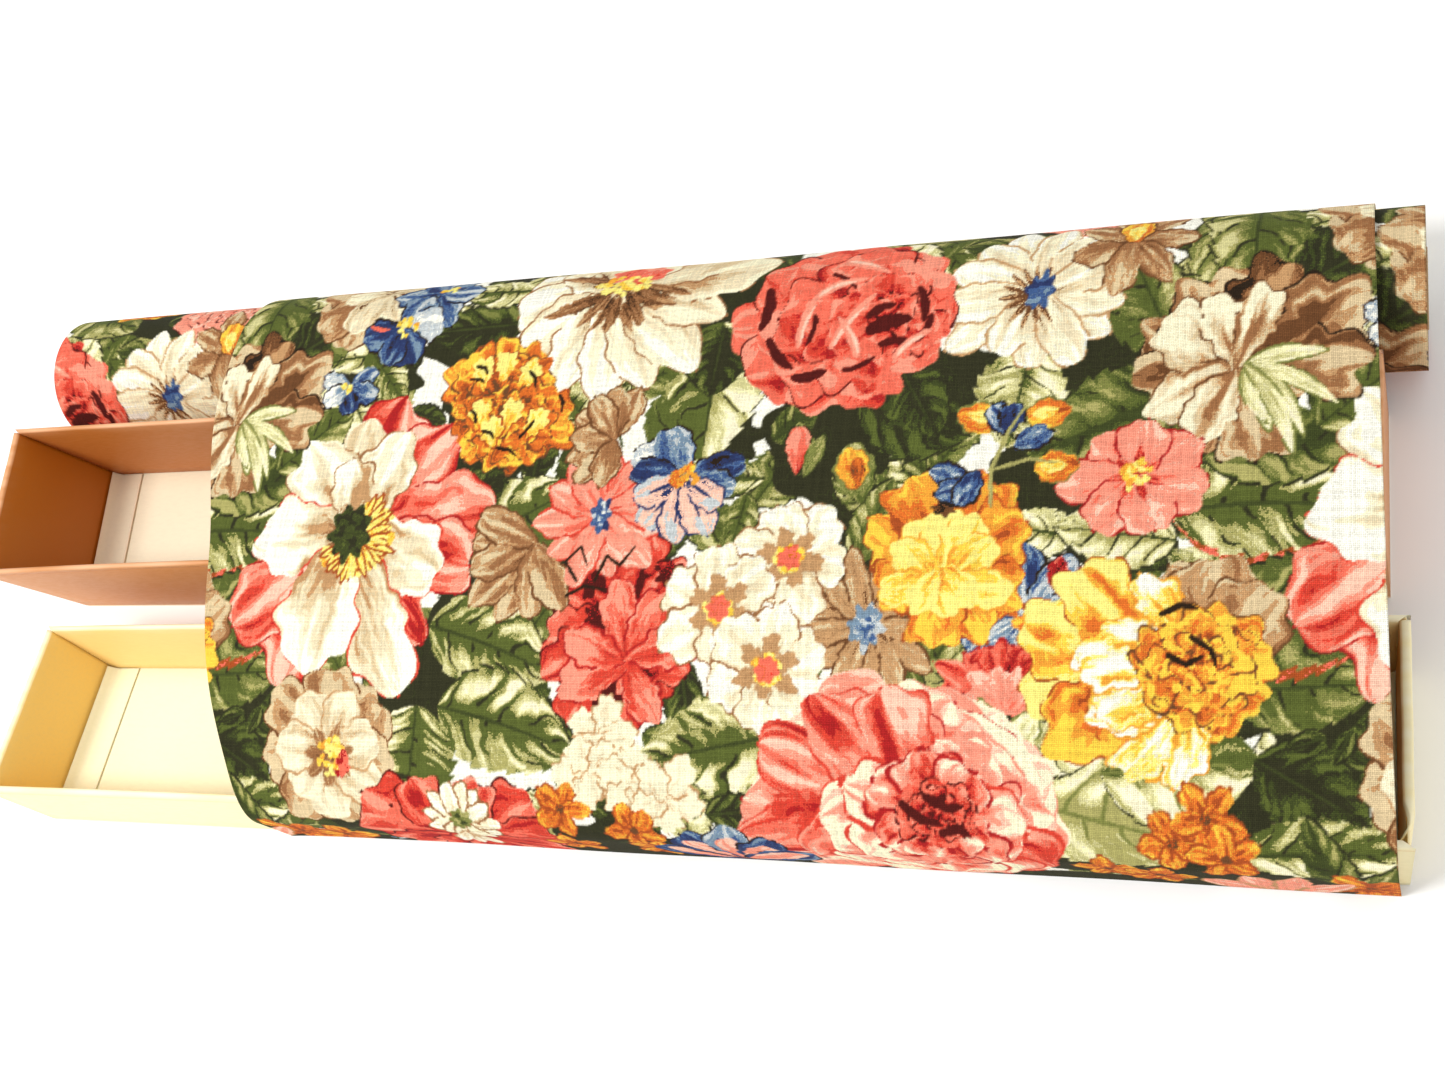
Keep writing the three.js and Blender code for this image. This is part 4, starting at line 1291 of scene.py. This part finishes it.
def settle(tray, place):
    how = settled[tray]
    low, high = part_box(f"{tray}_floor")
    place = place.copy()
    x, y, z = place[..., 0], place[..., 1], place[..., 2]
    up = np.clip(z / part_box(f"{tray}_front_wall")[1][2], 0, 1.2)
    right = np.clip(x / 0.30, 0, 1) ** 3
    left = np.clip((-0.16 - x) / 0.14, 0, 1.2) ** 1.5
    fore = np.clip((high[1] - y) / (high[1] - low[1]), 0, 1)
    leant = left * up * (how["frontRim"][1] * fore + how["backRim"][1] * (1 - fore))
    place[..., 1] = y + mm * (how["front"] * fore + leant)
    place[..., 0] = x + mm * ((how["shift"] + how["rim"] * up) * right
                              + left * (up * (how["backRim"][0] * (1 - fore) + how["frontRim"][0] * fore)
                                        + (1 - up) * how["frontBase"][0] * fore))
    return place


def wallSection(height, gap):
    # One closed outline of the doubled wall: q across from the outer face, h up, both in millimetres,
    # how far the point sits in from the wall's ends, and how much it belongs to the inner side.
    outer, lining, seam = wallShape["outer"], wallShape["lining"], wallShape["seam"]
    whole = outer + gap + lining
    radius = whole / 2
    crown = height - radius
    overTop = 2.2  # how far round the fold, in radians, the inner side begins
    up = np.linspace(0.3, crown - seam - 0.4, 8)
    down = np.linspace(crown, 0.3, 10)
    rows = [(0.25, 0.0, 0.0, 0)] + [(0.0, h, 0.0, 0) for h in up]
    rows += [(0.02, crown - seam - 0.2, 0.0, 0), (0.22, crown - seam, 0.0, 0), (0.02, crown - seam + 0.2,
            0.0, 0),
             (0.0, crown - seam * 0.5, 0.0, 0), (0.0, crown, 0.0, 0)]
    for a in np.linspace(0, math.pi, 13)[1:-1]:
        rows.append((radius - radius * math.cos(a), crown + min(radius, wallShape["outer"]) * math.sin(a),
                     min(a / overTop, 1), 0 if a < overTop else 0.5))
    rows += [(whole, h, 1.0, 1) for h in down] + [(whole - 0.25, 0.0, 1.0, 1)]
    rows += [(outer + gap + 0.25, 0.0, 1.0, 1), (outer + gap, 0.3, 1.0, 1)]
    half = gap / 2
    rows += [(outer + gap, crown - 0.4, 1.0, 1)]
    rows += [(outer + half + half * math.cos(a), crown - 0.4 + min(half, 0.3) * math.sin(a), 0.8, 1)
             for a in np.linspace(0, math.pi, 5)[1:-1]]
    rows += [(outer, crown - 0.4, 0.4, 1), (outer, 0.3, 0.0, 1), (outer - 0.25, 0.0, 0.0, 0)]
    return np.array(rows)


def buildWall(tray, side, material):
    # side is front, back, left_end or right_end. The piece stands for the outer wall and its lining.
    long = not side.endswith("end")
    wall = f"{tray}_{side}" + ("_wall" if long else "")
    lining = f"{tray}_{side}_lining"
    corners = cornersOf(wall)
    low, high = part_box(wall)
    top = (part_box(f"{tray}_front_wall")[1][2] - low[2]) / mm
    height = (high[2] - low[2]) / mm
    section = wallSection(top, wallShape["longGap" if long else "endGap"])
    count = wallShape["stations"] if long else 40
    f = np.linspace(0, 1, count)[:, None]
    q, h, inset, within = (section[:, i][None] for i in range(4))
    size = np.linalg.norm(corners[1, 0, 0] - corners[0, 0, 0]) if long else np.linalg.norm(
        corners[0, 1, 0] - corners[0, 0, 0])
    startInset = endInset = (3.8 if long else 0.4) * mm / size
    openCorner = tray == "lid_tray" and side == "right_end"
    if openCorner:
        # The fold and lining stop short of the front corner, which has sprung open.
        startInset = 11.5 * mm / size
    run = startInset * inset + f * (1 - (startInset + endInset) * inset)
    level = h / height
    bow = wallShape["bow"] * np.sin(np.pi * np.clip(run, 0, 1)) ** 0.8 * level * (1.0 if long else 0.25)
    dent = wallShape["dent"] * np.sin(run * 17 + 2 * len(side)) * level
    across = q - (bow + dent) * (0.4 if tray == "base_tray" else 0.25)
    if openCorner:
        across = across + 5.5 * np.clip(1 - run / 0.13, 0, 1) ** 2 * level
    share = across / wallShape["outer"]
    if side in ("back", "right_end"):
        share = 1 - share
    level, run = level + 0 * across, run + 0 * across
    place = insideCorners(corners, run, share, level) if long else insideCorners(corners, share, run, level)
    place = settle(tray, place)
    rows, columns = place.shape[:2]
    quads = gridQuads(rows, columns, closed=True)
    caps = [list(range(columns)), [(rows - 1) * columns + i for i in range(columns)][::-1]]
    if side in ("front", "right_end"):
        quads = quads[:, ::-1]
    else:
        caps = [c[::-1] for c in caps]
    made = makeMesh(f"{tray}_{side}_folded", place.reshape(-1, 3), quads, caps)
    # Painted highlight along the crown of the rim's rounded fold.
    crestHighlight = np.exp(-((h - top + 0.3) / 0.9) ** 2) * (0.45 + 0.4 * np.sin(run * 61 + 1) * np.sin(run * 23))
    crown = top - (wallShape["outer"] + wallShape["lining"] + wallShape["longGap" if long else "endGap"]) / 2
    groove = np.exp(-((h - crown + wallShape["seam"]) / 0.16) ** 2) * (q < 0.5)
    setLayer(made, "cardEdge", "FLOAT", np.clip(crestHighlight + 0 * across, 0, 1).ravel())
    setLayer(made, "cardSeam", "FLOAT", np.clip(groove + 0 * across, 0, 1).ravel())
    # Share of the inner painted shade: full on the left end, which faces away from the key light, and on the
    # lid's open right end; 0.62 on the other walls.
    inner = within * (1.0 if side == "left_end" or openCorner else 0.62)
    setLayer(made, "cardInsideShade", "FLOAT", np.clip(inner + 0 * across, 0, 1).ravel())
    return ride(made, tray, material, "peach_card" if tray == "base_tray" else "cream_card", wall, lining)


def buildPanel(node, material, tray, slot, flex=0.0, curl=0):
    # A single card panel with softened edges, a little out of flat.
    corners = cornersOf(node)
    sizes = [np.linalg.norm(corners[1, 0, 0] - corners[0, 0, 0]),
             np.linalg.norm(corners[0, 1, 0] - corners[0, 0, 0]),
             np.linalg.norm(corners[0, 0, 1] - corners[0, 0, 0])]
    thin = int(np.argmin(sizes))
    a, b = [i for i in range(3) if i != thin]
    soft = 0.22 * sizes[thin]

    fine = 9 * mm if not curl else 1.2 * mm

    def stops(size, step):
        inner = np.linspace(soft * 2, size - soft * 2, max(2, int(size / step)))
        return np.concatenate([[0, soft * 0.5], inner, [size - soft * 0.5, size]]) / size

    sa, sb = stops(sizes[a], fine), stops(sizes[b], 9 * mm)
    gridA, gridB = np.meshgrid(sa, sb, indexing="ij")
    nearEdge = np.minimum(np.minimum(gridA, 1 - gridA) * sizes[a], np.minimum(gridB, 1 - gridB) * sizes[b])
    pinch = np.sqrt(np.clip(1 - np.clip(nearEdge / (soft * 2), 0, 1), 0, 1)) * 0.3
    wave = flex / sizes[thin] * np.sin(gridA * math.pi) * (0.6 + 0.4 * np.sin(gridB * 9 + gridA * 14))
    layers = []
    for side in (0, 1):
        t = (pinch if side == 0 else 1 - pinch) + wave
        fractions = [None] * 3
        fractions[a], fractions[b], fractions[thin] = gridA, gridB, t
        layers.append(insideCorners(corners, *fractions))
    na, nb = gridA.shape
    points = settle(tray, np.concatenate([layers[0].reshape(-1, 3), layers[1].reshape(-1, 3)]))
    if curl:
        # The flap turns up where it meets the end wall.
        near = np.concatenate([(gridA if curl < 0 else 1 - gridA).ravel()] * 2)
        points[:, 2] += 4.2 * mm * np.clip(1 - near / 0.26, 0, 1) ** 1.6
    quads = [gridQuads(na, nb), gridQuads(na, nb, na * nb, flip=True)]
    ring = ([(i, 0) for i in range(na)] + [(na - 1, j) for j in range(1, nb)]
            + [(i, nb - 1) for i in range(na - 2, -1, -1)] + [(0, j) for j in range(nb - 2, 0, -1)])
    loop = np.array([i * nb + j for i, j in ring])
    quads.append(np.stack([loop, loop + na * nb, np.roll(loop, -1) + na * nb, np.roll(loop, -1)], -1))
    made = makeMesh(node + "_card", points, np.concatenate(quads))
    # Lighter along the panel's softened edges, in the edge colour.
    edge = np.clip(1 - nearEdge / (0.5 * mm), 0, 1) * 0.6
    setLayer(made, "cardEdge", "FLOAT", np.concatenate([edge.ravel(), edge.ravel()]))
    fixNormals(made)
    return ride(made, tray, material, slot, node)


def fixNormals(thing):
    # Turns every face outward if the mesh came out inside out.
    mesh = thing.data
    mesh.calc_loop_triangles()
    co = np.empty(len(mesh.vertices) * 3, np.float32)
    mesh.vertices.foreach_get("co", co)
    co = co.reshape(-1, 3)
    tri = np.empty(len(mesh.loop_triangles) * 3, np.int32)
    mesh.loop_triangles.foreach_get("vertices", tri)
    p = co[tri.reshape(-1, 3)].astype(float)
    volume = np.einsum("ij,ij->i", p[:, 0], np.cross(p[:, 1], p[:, 2])).sum()
    if volume < 0:
        mesh.flip_normals()


def buildTrays():
    for tray, key, slot in (("base_tray", "base", "peach_card"), ("lid_tray", "lid", "cream_card")):
        look = cardLook[key]
        outside = cardMaterial(slot, look["outside"], look, look["inside"])
        inside = cardMaterial(slot + "_floor", look["floor"], look)
        lining = cardMaterial(slot + "_tab", look["tab"], look)
        # The right ends' inner faces take a deeper painted shade: the lid's own orange, and the base's inside
        # colour.
        sprung = cardMaterial(slot + "_sprung", look["outside"], look, look.get("sprung", look["inside"]))
        for side in ("front", "back", "left_end", "right_end"):
            fixNormals(buildWall(tray, side, sprung if side == "right_end" else outside))
        buildPanel(f"{tray}_floor", inside, tray, slot, 0.1 * mm)
        for end in ("left", "right"):
            buildPanel(f"{tray}_{end}_floor_flap", inside, tray, slot, curl=-1 if end == "left" else 1)
            for corner in ("front", "back"):
                buildPanel(f"{tray}_{end}_{corner}_tab", lining, tray, slot)


studio = dict(position=(0.31304, -0.22425, 0.62285), right=(0.92235, 0.1161, -0.36849),
              down=(-0.0193, -0.93874, -0.34408), lens=42.717, sensor=36.0, white=(255, 255, 255),
              fill=0.82, key=46.0, keyPlace=(-1.25, -0.7, 2.2), keySize=0.9)


def buildStudio():
    scene = bpy.context.scene
    camera = bpy.data.objects.new("camera", bpy.data.cameras.new("camera"))
    scene.collection.objects.link(camera)
    right, up = Vector(studio["right"]).normalized(), -Vector(studio["down"]).normalized()
    back = right.cross(up).normalized()
    up = back.cross(right)
    turn = Matrix((right, up, back)).transposed().to_4x4()
    camera.matrix_world = Matrix.Translation(studio["position"]) @ turn
    camera.data.lens = studio["lens"]
    camera.data.sensor_width = studio["sensor"]
    camera.data.sensor_fit = "HORIZONTAL"
    camera.data.clip_start, camera.data.clip_end = 0.01, 50.0
    scene.camera = camera

    g = Graph("studio_floor")
    grain = g.noise(g.node("ShaderNodeTexCoord", {}, {}, out="Object"), 3.0, 2.0)
    material = g.finish(Base_Color=g.blend(grain, linear(*studio["white"]), linear(252, 252, 252)),
                        Roughness=0.9)
    floor = makeMesh("studio_floor", [(-6, -6, 0), (6, -6, 0), (6, 6, 0), (-6, 6, 0)], [(0, 1, 2, 3)])
    floor.data.materials.append(material)

    world = bpy.data.worlds.new("studio_air")
    scene.world = world
    world.use_nodes = True
    world.node_tree.nodes["Background"].inputs["Color"].default_value = (1.0, 1.0, 1.0, 1.0)
    world.node_tree.nodes["Background"].inputs["Strength"].default_value = studio["fill"]

    lamp = bpy.data.objects.new("key_light", bpy.data.lights.new("key_light", "AREA"))
    lamp.data.shape, lamp.data.size, lamp.data.energy = "DISK", studio["keySize"], studio["key"]
    lamp.data.color = (1.0, 0.985, 0.96)
    lamp.location = studio["keyPlace"]
    lamp.rotation_mode = "QUATERNION"
    lamp.rotation_quaternion = (Vector((0, 0, 0)) - lamp.location).to_track_quat("-Z", "Y")
    scene.collection.objects.link(lamp)
    scene.view_settings.view_transform = "Standard"


print("painting the print")
clothCanvas = paintCloth()
print("laying the cloth")
printedCloth = clothMaterial()
buildSheet(clothCanvas, printedCloth)
buildRoll(clothCanvas, printedCloth)
buildTube(tubeMaterial())
print("folding the trays")
buildTrays()
print("setting up the studio")
buildStudio()
